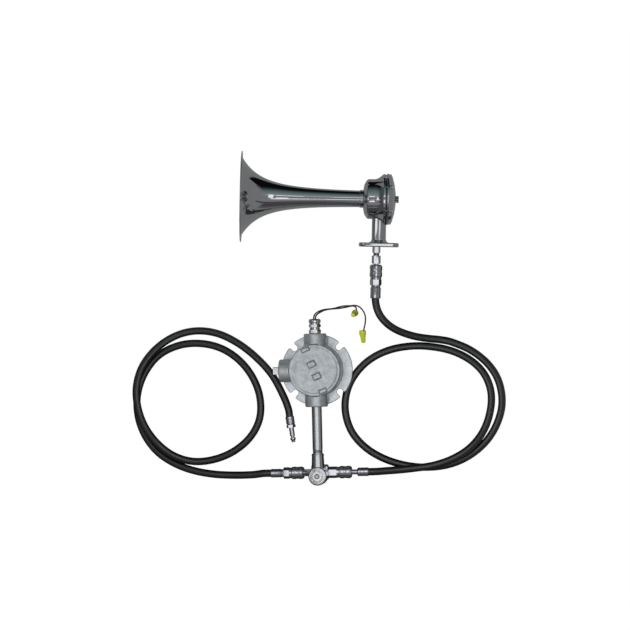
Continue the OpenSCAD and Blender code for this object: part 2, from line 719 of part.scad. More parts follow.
module knurl() intersection() {
    linear_extrude(knurl_l) polygon([
        for (i = [0 : 2 * knurl_ridges - 1])
            let (a = 180 * i / knurl_ridges, r = sleeve_r - 0.7 * (i % 2)) r * [cos(a), sin(a)]
    ]);
    turned([[0, 0], [sleeve_r - 0.8, 0], [sleeve_r, 0.8], [sleeve_r, knurl_l - 0.8], [sleeve_r - 0.8, knurl_l], [0, knurl_l]]);
}

module horn_sleeve() color(CHROME) at_horn_coupler() sleeve();
module supply_sleeve() color(CHROME) at_supply_coupler() sleeve();
module outlet_sleeve() color(CHROME) at_outlet_coupler() sleeve();

module sleeve_spring(name) translate([0, 0, land_end + 0.1])
    spring(name, (socket_tube_r + sleeve_room_r) / 2, spring_wire_r, shoulder_z - land_end - 0.2, spring_curls);

module horn_sleeve_spring() color(STEEL) at_horn_coupler() sleeve_spring("horn sleeve spring");
module supply_sleeve_spring() color(STEEL) at_supply_coupler() sleeve_spring("supply sleeve spring");
module outlet_sleeve_spring() color(STEEL) at_outlet_coupler() sleeve_spring("outlet sleeve spring");

module lock_balls() color(STEEL) at_couplers() translate([0, 0, ball_z]) ring_of(ball_count, ball_circle_r) sphere(r = ball_r);

module coupler_seals() color(RUBBER) at_couplers() difference() {
    translate([0, 0, seal_z]) cylinder(r = socket_r - fit_gap, h = 2.4);
    translate([0, 0, seal_z - 1]) cylinder(r = plug_tip_r + fit_gap, h = 5);
}

// Check poppets, which the plugs' tips hold off their seats
module check_poppets() color(BRASS) at_couplers() difference() {
    turned([
        [0, nose_l + 0.1], [plug_tip_r - 0.6, nose_l + 0.1], [plug_tip_r - 0.6, poppet_z - 1],
        [poppet_room_r - 1.2, poppet_z + 1, 0.4], [poppet_room_r - 1.2, poppet_spring_z], [0, poppet_spring_z]
    ]);
    translate([0, 0, nose_l]) cylinder(r = 1.6, h = 4);
}

module check_springs() color(STEEL) at_couplers() translate([0, 0, poppet_spring_z + 0.1])
    spring("check spring", poppet_room_r - 2, 0.45, poppet_spring_l - 0.2, 5);

// A crimped ferrule, from the fitting's end at z = 0 to the hose's end
module ferrule(r, l) difference() {
    turned([
        [0, 0], [r - 2, 0], [r, 2.2, 0.8], [r, l * 0.24], [r - 0.7, l * 0.28], [r - 0.7, l * 0.34], [r, l * 0.38],
        [r, l * 0.54], [r - 0.7, l * 0.58], [r - 0.7, l * 0.64], [r, l * 0.68], [r, l - 1.5, 0.6], [r - 1, l], [0, l]
    ], 2);
    translate([0, 0, -1]) cylinder(r = stem_r + fit_gap, h = l);
    translate([0, 0, l - hose_grip]) cylinder(r = hose_r + fit_gap, h = hose_grip + 1);
}

hose_coupler_end = hex_z + coupler_hex_l + coupler_neck_l;
module horn_ferrule() color(CHROME) at_horn_coupler() translate([0, 0, hose_coupler_end]) ferrule(horn_ferrule_r, ferrule_l);
module supply_ferrule() color(CHROME) at_supply_coupler() translate([0, 0, hose_coupler_end]) ferrule(ferrule_r, ferrule_l);
module outlet_ferrule() color(CHROME) at_outlet_coupler() translate([0, 0, -hose_shank_l]) mirror([0, 0, 1]) ferrule(ferrule_r, ferrule_l);

// The free end of the supply hose: a ferrule and a plug that lie on the ground
free_end = [-53.5, -215.6];
free_yaw = 9;
free_hex_r = 9.8;
free_hex_l = 6.5;
free_ferrule_l = 18;
free_shank_l = 14.5;
free_z = ferrule_r;
module at_free_end() set_down() translate([free_end[0], free_end[1], free_z]) rotate([0, 0, free_yaw]) rotate([90, 0, 0]) children();
module inlet_ferrule() color(CHROME) at_free_end() mirror([0, 0, 1]) translate([0, 0, -free_ferrule_l])
    ferrule(ferrule_r, free_ferrule_l);
module inlet_plug() color(CHROME) at_free_end() translate([0, 0, free_ferrule_l + free_hex_l + free_shank_l])
    plug(free_hex_r, free_hex_l, free_shank_l, stem_r, free_ferrule_l - hose_grip - 1);

// Routes of the hoses and wires, point by point as they lie
SUPPLY_ROUTE = [
    [-132, -340.5, 11], [-174, -342, 8], [-219, -340, 8], [-264, -332, 8], [-304, -317, 8],
    [-340, -293, 8], [-367, -258, 8], [-382, -216, 8], [-383, -170, 8], [-367, -124, 8], [-336, -86, 8],
    [-292, -65, 8], [-246, -61, 8], [-202, -71, 8], [-164, -95, 8], [-135, -130, 8], [-118, -173, 8],
    [-118, -220, 8], [-138, -260, 8], [-174, -291, 8], [-218, -309, 8], [-262, -313, 11], [-302, -301, 18],
    [-336, -275, 25], [-363, -240, 25], [-379, -198, 25], [-382, -152, 25], [-368, -108, 25], [-338, -70, 19],
    [-298, -44, 11], [-254, -34, 8], [-208, -40, 8], [-164, -61, 8], [-125, -91, 8], [-92, -127, 8],
    [-69, -168, 8]
];
HORN_ROUTE = [
    [152, -330, 17.5], [185, -327, 22.5], [218, -323, 25], [256, -317, 25], [296, -303, 24], [332, -280, 20.5],
    [358, -248, 13.5], [373, -208, 9], [376, -165, 8], [363, -127, 8], [336, -98, 8], [296, -77, 8],
    [250, -67, 8], [204, -66, 8], [158, -75, 8], [118, -95, 8], [88, -125, 8], [70, -161, 8],
    [66, -203, 8], [79, -246, 8], [108, -280, 8], [148, -304, 8], [194, -318, 8], [240, -322, 8],
    [286, -316, 8], [328, -298, 8], [364, -268, 8], [388, -230, 8], [399, -186, 8], [392, -140, 8],
    [370, -104, 8], [334, -75, 8], [292, -57, 8], [268, -52.2, 8.3], [243, -49.6, 12.6], [218, -45.6, 19.4],
    [195, -38.8, 27.6], [174.5, -29.4, 36.4], [158, -17, 44], [145.6, -1.8, 49.2], [138.3, 15, 51.6]
];
WIRE_A_ROUTE = [
    [8, -1.4, 42.2], [10.7, 1.6, 41.3], [15.8, 5.4, 38.2], [21.9, 8.9, 33], [28.4, 11.2, 26.5], [35.5, 12.5, 18.8],
    [43, 13.2, 11.3], [51, 13.9, 5.7], [60, 15.2, 2.5], [69, 17, 1.7], [77, 18.8, 1.7], [81.5, 19.1, 1.7],
    [84.5, 18.6, 1.7], [86.9, 17.1, 1.7], [88.5, 14.8, 1.7], [89, 12.2, 1.7], [88.5, 9.9, 1.7], [87.6, 7.5, 2.3],
    [86.9, 5.4, 3.9], [86.4, 4.1, 6.3]
];
WIRE_B_ROUTE = [
    [4.8, 0.3, 42.3], [8.6, 4.4, 42], [15.3, 8.4, 40.2], [23.2, 11.2, 35.5], [30.7, 12.4, 29], [38, 13.2, 21.3],
    [45.1, 14.6, 13.9], [51.7, 16.8, 7.8], [59.6, 18.7, 3.6], [68.6, 19.5, 4.3], [76.9, 19.6, 5.2], [84.6, 20.4, 5.3],
    [91.4, 19.3, 4.8], [97.6, 15.6, 3.5], [102.8, 9.6, 2.2], [106.5, 2.5, 1.7], [108.3, -5.2, 1.7], [108.3, -13.5, 2.3],
    [107.3, -21.5, 4.4], [106, -28.5, 6.6], [105.2, -33.2, 7.3], [104.8, -37.7, 7]
];

// Where a route enters a ferrule or the gland: a point inside, and one straight ahead of it
grip = hose_grip - fit_gap;
function supply_exit(d) = line_point([supply_front - hose_coupler_end - ferrule_l + d, port_y, port_z]);
function outlet_exit(d) = line_point([outlet_front + hose_shank_l + ferrule_l - d, port_y, port_z]);
function horn_exit(d) = horn_point([inlet_x, d - flange_drop - horn_front - hose_coupler_end - ferrule_l, 0]);
function free_exit(d) = [free_end[0], free_end[1], free_z] + turn_z([0, -d, 0], free_yaw);
function gland_exit(x, d) = line_point([x * wire_gap / 2, gland_end - d, hub_z]);
lead_end = 0.5;

module supply_hose() color(RUBBER) set_down() tube(concat(
    [supply_exit(grip), supply_exit(-2 * hose_r)], SUPPLY_ROUTE, [free_exit(-2 * hose_r), free_exit(grip)]
), hose_r, 10);
module horn_hose() color(RUBBER) set_down() tube(concat(
    [outlet_exit(grip), outlet_exit(-2 * hose_r)], HORN_ROUTE, [horn_exit(-3), horn_exit(grip)]
), hose_r, 10);
module wire_a() color(RUBBER) set_down()
    tube(concat([gland_exit(1, lead_end), gland_exit(1, -2.5)], WIRE_A_ROUTE), wire_r, 6);
module wire_b() color(RUBBER) set_down()
    tube(concat([gland_exit(-1, lead_end), gland_exit(-1, -2.5)], WIRE_B_ROUTE), wire_r, 6);

// A tapered wire nut with shallow flutes, from its mouth at z = 0 to its closed tip
nut_flutes = 12;
module wire_nut() difference() {
    union() {
        turned([[0, 0], [nut_mouth_r - 0.3, 0, 0.5], [nut_mouth_r - 0.3, 5, 0.5], [nut_tip_r, nut_l, 1.6], [0, nut_l]]);
        for (a = [0, 180]) rotate(a) translate([nut_mouth_r - 3, -0.9, 1]) cube([3, 1.8, 9]);
    }
    translate([0, 0, -1]) cylinder(r = nut_mouth_r - 1.6, h = 6);
    for (i = [0 : nut_flutes - 1]) rotate(360 * (i + 0.5) / nut_flutes) translate([nut_mouth_r + 0.35, 0, 6])
        rotate([0, -atan((nut_mouth_r - nut_tip_r) / (nut_l - 5)), 0]) cylinder(r = 0.8, h = nut_l);
}

nut_a_place = [86.6, 4.65, 3.65];
nut_a_lean = 13;
nut_a_yaw = 250;
nut_b_place = [102.6, -33, 7.7];
nut_b_lean = 97.4;
nut_b_yaw = 274;
module wire_nut_a() color(WIRE_NUT) set_down() translate(nut_a_place) rotate([0, nut_a_lean, nut_a_yaw])
    translate([0, 0, -1.2]) wire_nut();
module wire_nut_b() color(WIRE_NUT) set_down() translate(nut_b_place) rotate([0, nut_b_lean, nut_b_yaw])
    rotate(90) wire_nut();

// Junction box: a cast body with a slotted flange and three threaded hubs
hub_angles = [90, 180, 270];
hub_bore_r = conduit_r + fit_gap;
module junction_box() color(CAST) at_box() difference() {
    union() {
        turned([[0, 0], [box_flange_r, 0, 0.8], [box_flange_r, box_flange_t, 1.5], [0, box_flange_t]]);
        turned([[0, 1], [box_r, 1], [box_r, box_h, 2], [0, box_h]]);
        translate([0, 0, hub_r]) for (a = hub_angles) rotate([0, 90, a])
            turned([[0, box_cavity_r - 6], [hub_r, box_cavity_r - 6], [hub_r, hub_reach, 2.2], [0, hub_reach]]);
    }
    translate([0, 0, -50]) cylinder(r = box_flange_r * 2, h = 50);
    translate([0, 0, box_floor]) cylinder(r = box_cavity_r, h = box_h);
    translate([0, 0, box_h - lid_plug_l - 0.5]) cylinder(r = lid_plug_r + slide_gap, h = box_h);
    translate([0, 0, box_h]) cylinder(r = lid_r + 0.8, h = hub_r);
    translate([0, 0, hub_r]) for (a = hub_angles) rotate([0, 90, a])
        translate([0, 0, box_cavity_r / 2]) cylinder(r = hub_bore_r, h = hub_reach);
    for (a = [45 : 90 : 315]) rotate(a) slot();
    translate([box_cavity_r * 0.6, box_cavity_r * 0.5, box_floor - 3]) cylinder(r = ground_r + fit_gap, h = 9);
}

// An open mounting slot with flared lips
module slot() {
    lip = 3;
    translate([slot_r, 0, -1]) cylinder(r = slot_w / 2, h = box_flange_t + 2);
    translate([0, 0, -1]) linear_extrude(box_flange_t + 2) polygon([
        [slot_r, -slot_w / 2], [box_flange_r - lip, -slot_w / 2], [box_flange_r + 1, -slot_w / 2 - lip],
        [box_flange_r + 1, slot_w / 2 + lip], [box_flange_r - lip, slot_w / 2], [slot_r, slot_w / 2]
    ]);
}

// Cover: a threaded plug under a flange with a raised ring and four wrench lugs
module box_cover() color(CAST) at_box() difference() {
    union() {
        turned([
            [0, box_h - lid_plug_l], [lid_plug_r, box_h - lid_plug_l, 1], [lid_plug_r, box_h + free_gap],
            [lid_r, box_h + free_gap, 0.5], [lid_r, box_h + free_gap + lid_t + lid_ring_h, 1.2],
            [lid_r - lid_ring_w, box_h + free_gap + lid_t + lid_ring_h, 0.7], [lid_r - lid_ring_w - 2.5, box_h + free_gap + lid_t],
            [0, box_h + free_gap + lid_t]
        ], 3);
        translate([0, 0, box_h + lid_t - 1]) rotate(90 + lug_angle) for (x = [-lug_outer, -lug_inner, lug_inner, lug_outer])
            intersection() {
                translate([x, 0, 0]) lug(abs(x) > lid_r / 2 ? lug_outer_l : lug_l);
                cylinder(r = lid_r - 0.5, h = 30);
            }
    }
    translate([0, 0, box_h - eps]) difference() {
        cylinder(r = seal_r + lid_seal_d * 0.55, h = lid_seal_d);
        translate([0, 0, -1]) cylinder(r = lid_plug_r, h = 10);
    }
}

seal_r = lid_plug_r + lid_seal_d * 0.55 + 0.1;

// A wrench lug with drafted sides and a bevelled top
module lug(l) {
    top = lug_h + 1;
    hull() {
        translate([-l / 2, -lug_w / 2, 0]) cube([l, lug_w, 1]);
        translate([-l / 2 + 0.8, -lug_w / 2 + 0.8, top - 1]) cube([l - 1.6, lug_w - 1.6, 0.1]);
        translate([-l / 2 + 1.8, -lug_w / 2 + 1.8, top - 0.1]) cube([l - 3.6, lug_w - 3.6, 0.1]);
    }
}

module cover_seal() color(RUBBER) at_box() translate([0, 0, box_h + lid_seal_d / 2]) rotate_extrude()
    translate([seal_r, 0]) circle(r = lid_seal_d * 0.48, $fn = 20);

module hub_plug() color(CHROME) at_box() translate([0, 0, hub_r]) rotate([0, -90, 0]) union() {
    translate([0, 0, hub_reach - 16]) cylinder(r = conduit_r, h = 17);
    translate([0, 0, hub_reach + 0.6]) cylinder(r = conduit_r + 0.4, h = 1.4);
    intersection() {
        translate([-plug_head_w / 2, -plug_head_w / 2, hub_reach]) cube([plug_head_w, plug_head_w, plug_head_l]);
        translate([0, 0, hub_reach]) turned([[0, 0], [plug_head_w * 0.68, 0], [plug_head_w * 0.68, plug_head_l - 2], [plug_head_w * 0.56, plug_head_l], [0, plug_head_l]]);
    }
}

// Cable gland on the top hub
gland_ring_l = 5;
gland_thread_r = conduit_r - 1.6;
grommet_r = gland_thread_r - 2;
gland_end = hub_reach + gland_hex_l + gland_ring_l + gland_nut_l;
module at_gland(d) at_box() translate([0, 0, hub_r]) rotate([-90, 0, 0]) translate([0, 0, hub_reach + d]) children();
module gland_body() color(STEEL) at_gland(0) difference() {
    union() {
        translate([0, 0, -16]) cylinder(r = conduit_r, h = 17);
        hexagon(gland_hex_r, gland_hex_l);
        cylinder(r = gland_thread_r + 1.6, h = gland_hex_l + gland_ring_l);
        cylinder(r = gland_thread_r, h = gland_hex_l + gland_ring_l + 8);
    }
    translate([0, 0, -17]) cylinder(r = grommet_r + fit_gap, h = 60);
}

module gland_nut() color(STEEL) at_gland(gland_hex_l + gland_ring_l) difference() {
    union() {
        hexagon(gland_hex_r - 0.4, gland_nut_l * 0.56);
        turned([[0, 1], [gland_nose_r, 1], [gland_nose_r, gland_nut_l, 4.5], [0, gland_nut_l]]);
    }
    translate([0, 0, -1]) cylinder(r = gland_thread_r + fit_gap, h = 9.4);
    cylinder(r = grommet_r + fit_gap, h = gland_nut_l - 3);
    cylinder(r = wire_gap / 2 + wire_r + 0.8, h = gland_nut_l + 1);
}

module gland_grommet() color(RUBBER) at_gland(0) difference() {
    cylinder(r = grommet_r, h = gland_hex_l + gland_ring_l + gland_nut_l - 3.2);
    for (x = [-1, 1]) translate([x * wire_gap / 2, 0, -1]) cylinder(r = wire_r + fit_gap, h = 60);
}

ground_r = 2;
module ground_screw() color("#3f8f4f") at_box() translate([box_cavity_r * 0.6, box_cavity_r * 0.5, box_floor]) difference() {
    union() {
        translate([0, 0, -2.8]) cylinder(r = ground_r, h = 4);
        hexagon(4.4, 3);
    }
    translate([-5, -0.5, 2.2]) cube([10, 1, 2]);
}

module conduit() color(CHROME) at_line() translate([0, 0, hub_z]) rotate([90, 0, 0]) difference() {
    translate([0, 0, box_cavity_r + 10]) cylinder(r = conduit_r, h = conduit_end + conduit_grip - box_cavity_r - 10);
    cylinder(r = conduit_r - conduit_wall, h = 300);
}

// The coil's two leads, inside the conduit and the box, up to the gland's mouth
module coil_leads() color(RUBBER) at_line() for (x = [-1, 1]) translate([x * wire_gap / 2, gland_end - lead_end, hub_z]) rotate([90, 0, 0])
    cylinder(r = wire_r, h = gland_end - lead_end - valve_y - coil_r, $fn = 24);

// Solenoid valve. Its inlet, at -x, opens into the room above the seat; its outlet leaves from below the seat.
seat_floor = port_z - 6.2;
seat_top = port_z + 1.6;
duct_r = 2.4;
valve_thread_l = 6;
module valve_body() color(CHROME) at_line() translate([0, port_y, 0]) difference() {
    union() {
        intersection() {
            translate([-valve_l / 2 + 1.5, -valve_w / 2, 0]) cube([valve_l - 3, valve_w, valve_h]);
            turned([[0, 0], [valve_l * 0.58 - 1.2, 0], [valve_l * 0.58, 1.2], [valve_l * 0.58, valve_h - 1.2], [valve_l * 0.58 - 1.2, valve_h], [0, valve_h]]);
        }
        translate([-valve_l / 2, 0, port_z]) rotate([0, 90, 0]) turned([
            [0, 0], [tail_r + 3.5, 0, 0.8], [tail_r + 3.5, valve_l, 0.8], [0, valve_l]
        ]);
        translate([0, valve_y - port_y, 1]) cylinder(r = seat_room_r + 4, h = valve_h - 1);
    }
    for (a = [0, 180]) rotate(a) translate([valve_l / 2 - valve_thread_l, 0, port_z]) rotate([0, 90, 0])
        cylinder(r = tail_r + fit_gap, h = 10);
    translate([0, valve_y - port_y, 0]) difference() {
        translate([0, 0, seat_floor]) cylinder(r = seat_room_r, h = valve_h);
        translate([0, 0, seat_floor - 1]) cylinder(r = seat_bore_r + 2, h = seat_top - seat_floor + 1);
    }
    translate([0, valve_y - port_y, duct_r + 1.2]) cylinder(r = seat_bore_r, h = seat_top);
    translate([-valve_l / 2 + 1, 0, port_z]) rotate([0, 90, 0]) cylinder(r = line_bore_r, h = valve_l / 2 - 9);
    translate([0, valve_y - port_y, duct_r + 1.2]) rotate([0, 90, 0]) cylinder(r = duct_r, h = valve_l / 2 - 5);
    translate([valve_l / 2 - 5, valve_y - port_y, duct_r + 1.2]) rotate([-90, 0, 0]) cylinder(r = duct_r, h = 9);
    translate([valve_l / 2 - 5, 0, duct_r + 1.2]) cylinder(r = duct_r, h = port_z - duct_r);
}

module valve_seat_disc() color(RUBBER) at_valve() translate([0, 0, seat_top]) cylinder(r = plunger_r - 0.4, h = plunger_z - seat_top);

// Core tube: a flange on the valve's body, a thin tube round the plunger and a stud at the top
module core_tube() color(STEEL) at_valve() difference() {
    union() {
        translate([0, 0, valve_h]) cylinder(r = seat_room_r + 3.5, h = core_flange_t);
        translate([0, 0, valve_h]) cylinder(r = core_r + core_wall, h = core_top - valve_h);
    }
    translate([0, 0, valve_h - 1]) cylinder(r = core_r, h = core_top - valve_h + 2);
}

module plunger() color(STEEL) at_valve() difference() {
    translate([0, 0, plunger_z]) turned([[0, 0], [plunger_r, 0], [plunger_r, plunger_l, 0.5], [0, plunger_l]]);
    translate([0, 0, plunger_z + plunger_l - plunger_bore_l]) cylinder(r = plunger_bore_r, h = plunger_bore_l + 1);
}

plunger_bore_r = 3.4;
plunger_bore_l = 9;
module plunger_spring() color(STEEL) at_valve() translate([0, 0, plunger_z + plunger_l - plunger_bore_l + 0.1])
    spring("plunger spring", plunger_bore_r - 0.9, 0.35, plunger_bore_l + plunger_travel - 0.2, 6);

module pole_piece() color(STEEL) at_valve() union() {
    translate([0, 0, pole_z]) cylinder(r = plunger_r, h = core_top - pole_z);
    translate([0, 0, core_top - 1]) cylinder(r = 4, h = top_nut_h + 2.5);
}

module coil() color(COPPER) at_valve() difference() {
    union() {
        translate([0, 0, solenoid_z + 0.4]) cylinder(r = coil_r, h = solenoid_h - solenoid_wall - 0.8);
    }
    translate([0, 0, valve_h]) cylinder(r = core_r + core_wall + fit_gap, h = solenoid_h + 5);
}

coil_r = solenoid_r - solenoid_wall - 1.6;

// The solenoid's housing: a round can, open below, with a tapered hub for the conduit
module solenoid_housing() color(CHROME) at_valve() difference() {
    union() {
        translate([0, 0, solenoid_z]) turned([[0, 0], [solenoid_r, 0, 0.8], [solenoid_r, solenoid_h, 2.6], [0, solenoid_h]], 5);
        translate([0, 0, hub_z]) rotate([-90, 0, 0]) turned([
            [0, 5], [conduit_hub_root_r, 5], [conduit_hub_root_r, solenoid_r - 2], [conduit_hub_r, conduit_hub_l - 2.2],
            [conduit_hub_r - 0.8, conduit_hub_l], [0, conduit_hub_l]
        ]);
    }
    translate([0, 0, solenoid_z - 1]) cylinder(r = solenoid_r - solenoid_wall, h = solenoid_h - solenoid_wall + 1);
    cylinder(r = core_r + core_wall + fit_gap, h = core_top + 5);
    translate([0, conduit_hub_l - conduit_grip, hub_z]) rotate([-90, 0, 0]) cylinder(r = conduit_r + fit_gap, h = conduit_grip + 1);
    translate([0, solenoid_r / 2, hub_z]) rotate([-90, 0, 0]) cylinder(r = conduit_r - conduit_wall, h = conduit_hub_l);
}

module retaining_nut() color(STEEL) at_valve() translate([0, 0, core_top]) difference() {
    union() {
        cylinder(r = top_nut_r + 1, h = 1);
        translate([0, 0, 1]) hexagon(top_nut_r, top_nut_h - 1);
    }
    translate([0, 0, -1]) cylinder(r = 4 + fit_gap, h = top_nut_h + 2);
}

trumpet();
trumpet_collar();
horn_body();
throat_nozzle();
diaphragm();
diaphragm_gaskets();
rear_cover();
rear_cover_screws();
rear_plug();
inlet_nipple();
horn_plug();
horn_coupler();
horn_sleeve();
horn_sleeve_spring();
horn_ferrule();
supply_plug();
supply_coupler();
supply_sleeve();
supply_sleeve_spring();
supply_ferrule();
outlet_plug();
outlet_coupler();
outlet_sleeve();
outlet_sleeve_spring();
outlet_ferrule();
lock_balls();
coupler_seals();
check_poppets();
check_springs();
inlet_plug();
inlet_ferrule();
supply_hose();
horn_hose();
junction_box();
box_cover();
cover_seal();
hub_plug();
gland_body();
gland_nut();
gland_grommet();
ground_screw();
conduit();
coil_leads();
wire_a();
wire_b();
wire_nut_a();
wire_nut_b();
valve_body();
valve_seat_disc();
core_tube();
plunger();
plunger_spring();
pole_piece();
coil();
solenoid_housing();
retaining_nut();
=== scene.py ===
"""Air horn set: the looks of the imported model, laid out as an add-on and run as a script."""

import json
import math

import bmesh
import bpy
from mathutils import Matrix, Vector


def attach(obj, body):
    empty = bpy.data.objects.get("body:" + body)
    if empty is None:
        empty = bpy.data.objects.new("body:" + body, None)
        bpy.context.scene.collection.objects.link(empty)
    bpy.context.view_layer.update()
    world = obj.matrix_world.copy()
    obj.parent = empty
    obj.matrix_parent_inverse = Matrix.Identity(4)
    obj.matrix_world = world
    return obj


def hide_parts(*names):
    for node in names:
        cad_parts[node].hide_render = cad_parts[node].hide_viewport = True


bl_info = {
    "name": "Air horn set",
    "version": (1, 0, 0),
    "blender": (4, 5, 0),
    "location": "View3D > Sidebar > Air Horn",
    "description": "Builds the looks of a compressed-air horn with its hoses, valve and junction box",
    "category": "Add Mesh",
}

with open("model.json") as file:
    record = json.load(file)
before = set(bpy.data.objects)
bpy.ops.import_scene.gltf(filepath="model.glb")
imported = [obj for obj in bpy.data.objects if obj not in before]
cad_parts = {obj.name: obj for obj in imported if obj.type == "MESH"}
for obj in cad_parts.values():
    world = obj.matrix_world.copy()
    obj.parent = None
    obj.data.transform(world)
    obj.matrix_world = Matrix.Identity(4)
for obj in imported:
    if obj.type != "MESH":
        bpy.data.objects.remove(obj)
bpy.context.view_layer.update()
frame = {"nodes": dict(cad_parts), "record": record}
MM = 0.001
SET = "horn_set"

# Turns in degrees and places in millimetres, as the part's source has them
ORIGIN = Vector((15.4, -7.45, 0))
HORN_TILT = 7.75273384
HORN_ROLL = 1.25859541
HORN_YAW = -1.15
MOUTH_Z = 95.39230476
LINE_YAW = 1.35
BOX_BACK = 18.4
HUB_R = 24
HUB_REACH = 77.5
HUB_Z = BOX_BACK + HUB_R
VALVE_Y = -224
PORT_Y = -218
PORT_Z = 14
INLET_X = 287.4
PEDESTAL_X = 291.8
FLANGE_DROP = 100.4
# Where each coupler's open face stands, and how far the hose's ferrule starts from it
HORN_FACE, SUPPLY_FACE, OUTLET_FACE = 37.1, -34, 68
COUPLER_L = 47.2
OUTLET_SHANK = 12
FERRULE_L = 24
INLET_FERRULE_L = 18


def spun(axis, degrees):
    return Matrix.Rotation(math.radians(degrees), 4, axis)


def moved(x, y, z):
    return Matrix.Translation((x, y, z))


# From the millimetres of the part's source to the frame
SOURCE = Matrix.Diagonal((MM, MM, MM, 1)) @ Matrix.Translation(-ORIGIN)
HORN_TURN = spun("Z", HORN_YAW) @ spun("Y", HORN_TILT) @ spun("X", HORN_ROLL)
HORN = SOURCE @ moved(-144.5, 249.3, MOUTH_Z) @ HORN_TURN
HORN_AXIS = HORN @ spun("Y", 90)
FOOT = HORN @ moved(PEDESTAL_X, -FLANGE_DROP, 0) @ spun("X", -90)
LINE = SOURCE @ moved(7.5, -116.6, 0) @ spun("Z", LINE_YAW)
BOX = LINE @ moved(0, 0, BOX_BACK)
VALVE = LINE @ moved(0, VALVE_Y, 0)


def inlet(depth):
    """A place on the air inlet's axis, with its own Z away from the flange."""
    return HORN @ moved(INLET_X, -FLANGE_DROP - depth, 0) @ spun("X", 90)


def port(x):
    """A place on the valve's port line, with its own Z towards -X."""
    return LINE @ moved(x, PORT_Y, PORT_Z) @ spun("Y", -90)


def hub(depth, side=0):
    """A place on the axis of one of the box's hubs: 0 for the gland's, 1 for the plug's, 2 for the conduit's."""
    return BOX @ moved(0, 0, HUB_R) @ spun("Z", 90 * side) @ spun("X", -90) @ moved(0, 0, depth)


HORN_COUPLER = inlet(HORN_FACE)
SUPPLY_COUPLER = port(SUPPLY_FACE)
OUTLET_COUPLER = port(OUTLET_FACE)
FREE_END = SOURCE @ moved(-53.5, -215.6, 9.2) @ spun("Z", 9) @ spun("X", 90)


# Finishes


class Value:
    """A shader socket that sums are written with: each sum adds one Math node."""

    def __init__(self, tree, socket):
        self.tree, self.socket = tree, socket

    def math(self, operation, *others):
        return self.tree.node("ShaderNodeMath", feed=dict(enumerate((self, *others))), operation=operation)

    def back(self, operation, first):
        return self.tree.node("ShaderNodeMath", feed={0: first, 1: self}, operation=operation)

    def __add__(self, other):
        return self.math("ADD", other)

    def __sub__(self, other):
        return self.math("SUBTRACT", other)

    def __mul__(self, other):
        return self.math("MULTIPLY", other)

    def __truediv__(self, other):
        return self.math("DIVIDE", other)

    def __rsub__(self, other):
        return self.back("SUBTRACT", other)

    def __rtruediv__(self, other):
        return self.back("DIVIDE", other)

    def __neg__(self):
        return self.math("MULTIPLY", -1)

    __radd__ = __add__
    __rmul__ = __mul__

    def step(self, low, high):
        """0 below low, 1 above high and a smooth rise between."""
        feed = {0: self, 1: low, 2: high}
        return self.tree.node("ShaderNodeMapRange", feed=feed, interpolation_type="SMOOTHSTEP")


class Tree:
    """The node tree of a material or the world, and the nodes that both use."""

    def __init__(self, owner):
        owner.use_nodes = True
        self.nodes, self.links = owner.node_tree.nodes, owner.node_tree.links

    def node(self, kind, out=0, feed=None, stops=(), **settings):
        """Adds a node with its settings and a ramp's stops, feeds its sockets and gives one of its outputs."""
        node = self.nodes.new(kind)
        for key, value in settings.items():
            setattr(node, key, value)
        while stops and len(node.color_ramp.elements) < len(stops):
            node.color_ramp.elements.new(0.5)
        for (spot, colour), element in zip(stops, node.color_ramp.elements if stops else ()):
            element.position = spot
            element.color = (*colour, 1)
        for key, value in (feed or {}).items():
            self.plug(node.inputs[key], value)
        return Value(self, node.outputs[out])

    def plug(self, socket, value):
        if isinstance(value, Value):
            self.links.new(value.socket, socket)
        elif socket.type == "RGBA" and len(value) == 3:
            socket.default_value = (*value, 1)
        else:
            socket.default_value = value

    def axes(self):
        """Object coordinates in metres, as three values."""
        where = self.node("ShaderNodeTexCoord", out="Object")
        return [self.node("ShaderNodeSeparateXYZ", out=i, feed={0: where}) for i in range(3)]

    def in_view(self):
        """1 for rays from the camera, straight, mirrored or through glass, and 0 for all others."""
        names = ("Is Camera Ray", "Is Glossy Ray", "Is Transmission Ray")
        camera, glossy, through = (self.node("ShaderNodeLightPath", out=name) for name in names)
        return camera.math("MAXIMUM", glossy).math("MAXIMUM", through)


class Finish(Tree):
    """One material: a Principled shader and the nodes that feed it."""

    def __init__(self, name, **sockets):
        self.material = bpy.data.materials.new(name)
        super().__init__(self.material)
        self.shader = self.nodes["Principled BSDF"]
        self.set(**sockets)

    def set(self, **sockets):
        for key, value in sockets.items():
            self.plug(self.shader.inputs[key.replace("_", " ").title()], value)

    def surface(self, shader):
        self.plug(self.nodes["Material Output"].inputs["Surface"], shader)

    def noise(self, size, detail=2.0, roughness=0.5, stretch=(1, 1, 1)):
        """Smooth noise of 0 to 1 whose grains are about size millimetres."""
        where = self.node("ShaderNodeTexCoord", out="Object")
        place = self.node("ShaderNodeMapping", feed={"Vector": where, "Scale": [s / MM for s in stretch]})
        feed = {"Vector": place, "Scale": 1 / size, "Detail": detail, "Roughness": roughness}
        return self.node("ShaderNodeTexNoise", feed=feed)

    def mix(self, share, first, second):
        return self.node("ShaderNodeMix", out=2, feed={0: share, 6: first, 7: second}, data_type="RGBA")

    def bump(self, height, depth, strength=1.0):
        """Roughens the surface by depth millimetres where height goes from 0 to 1, and gives the finish."""
        feed = {"Height": height, "Distance": depth * MM, "Strength": strength}
        self.set(normal=self.node("ShaderNodeBump", feed=feed))
        return self


def grey(value, tint=(1, 1, 1)):
    return tuple(value * t for t in tint)


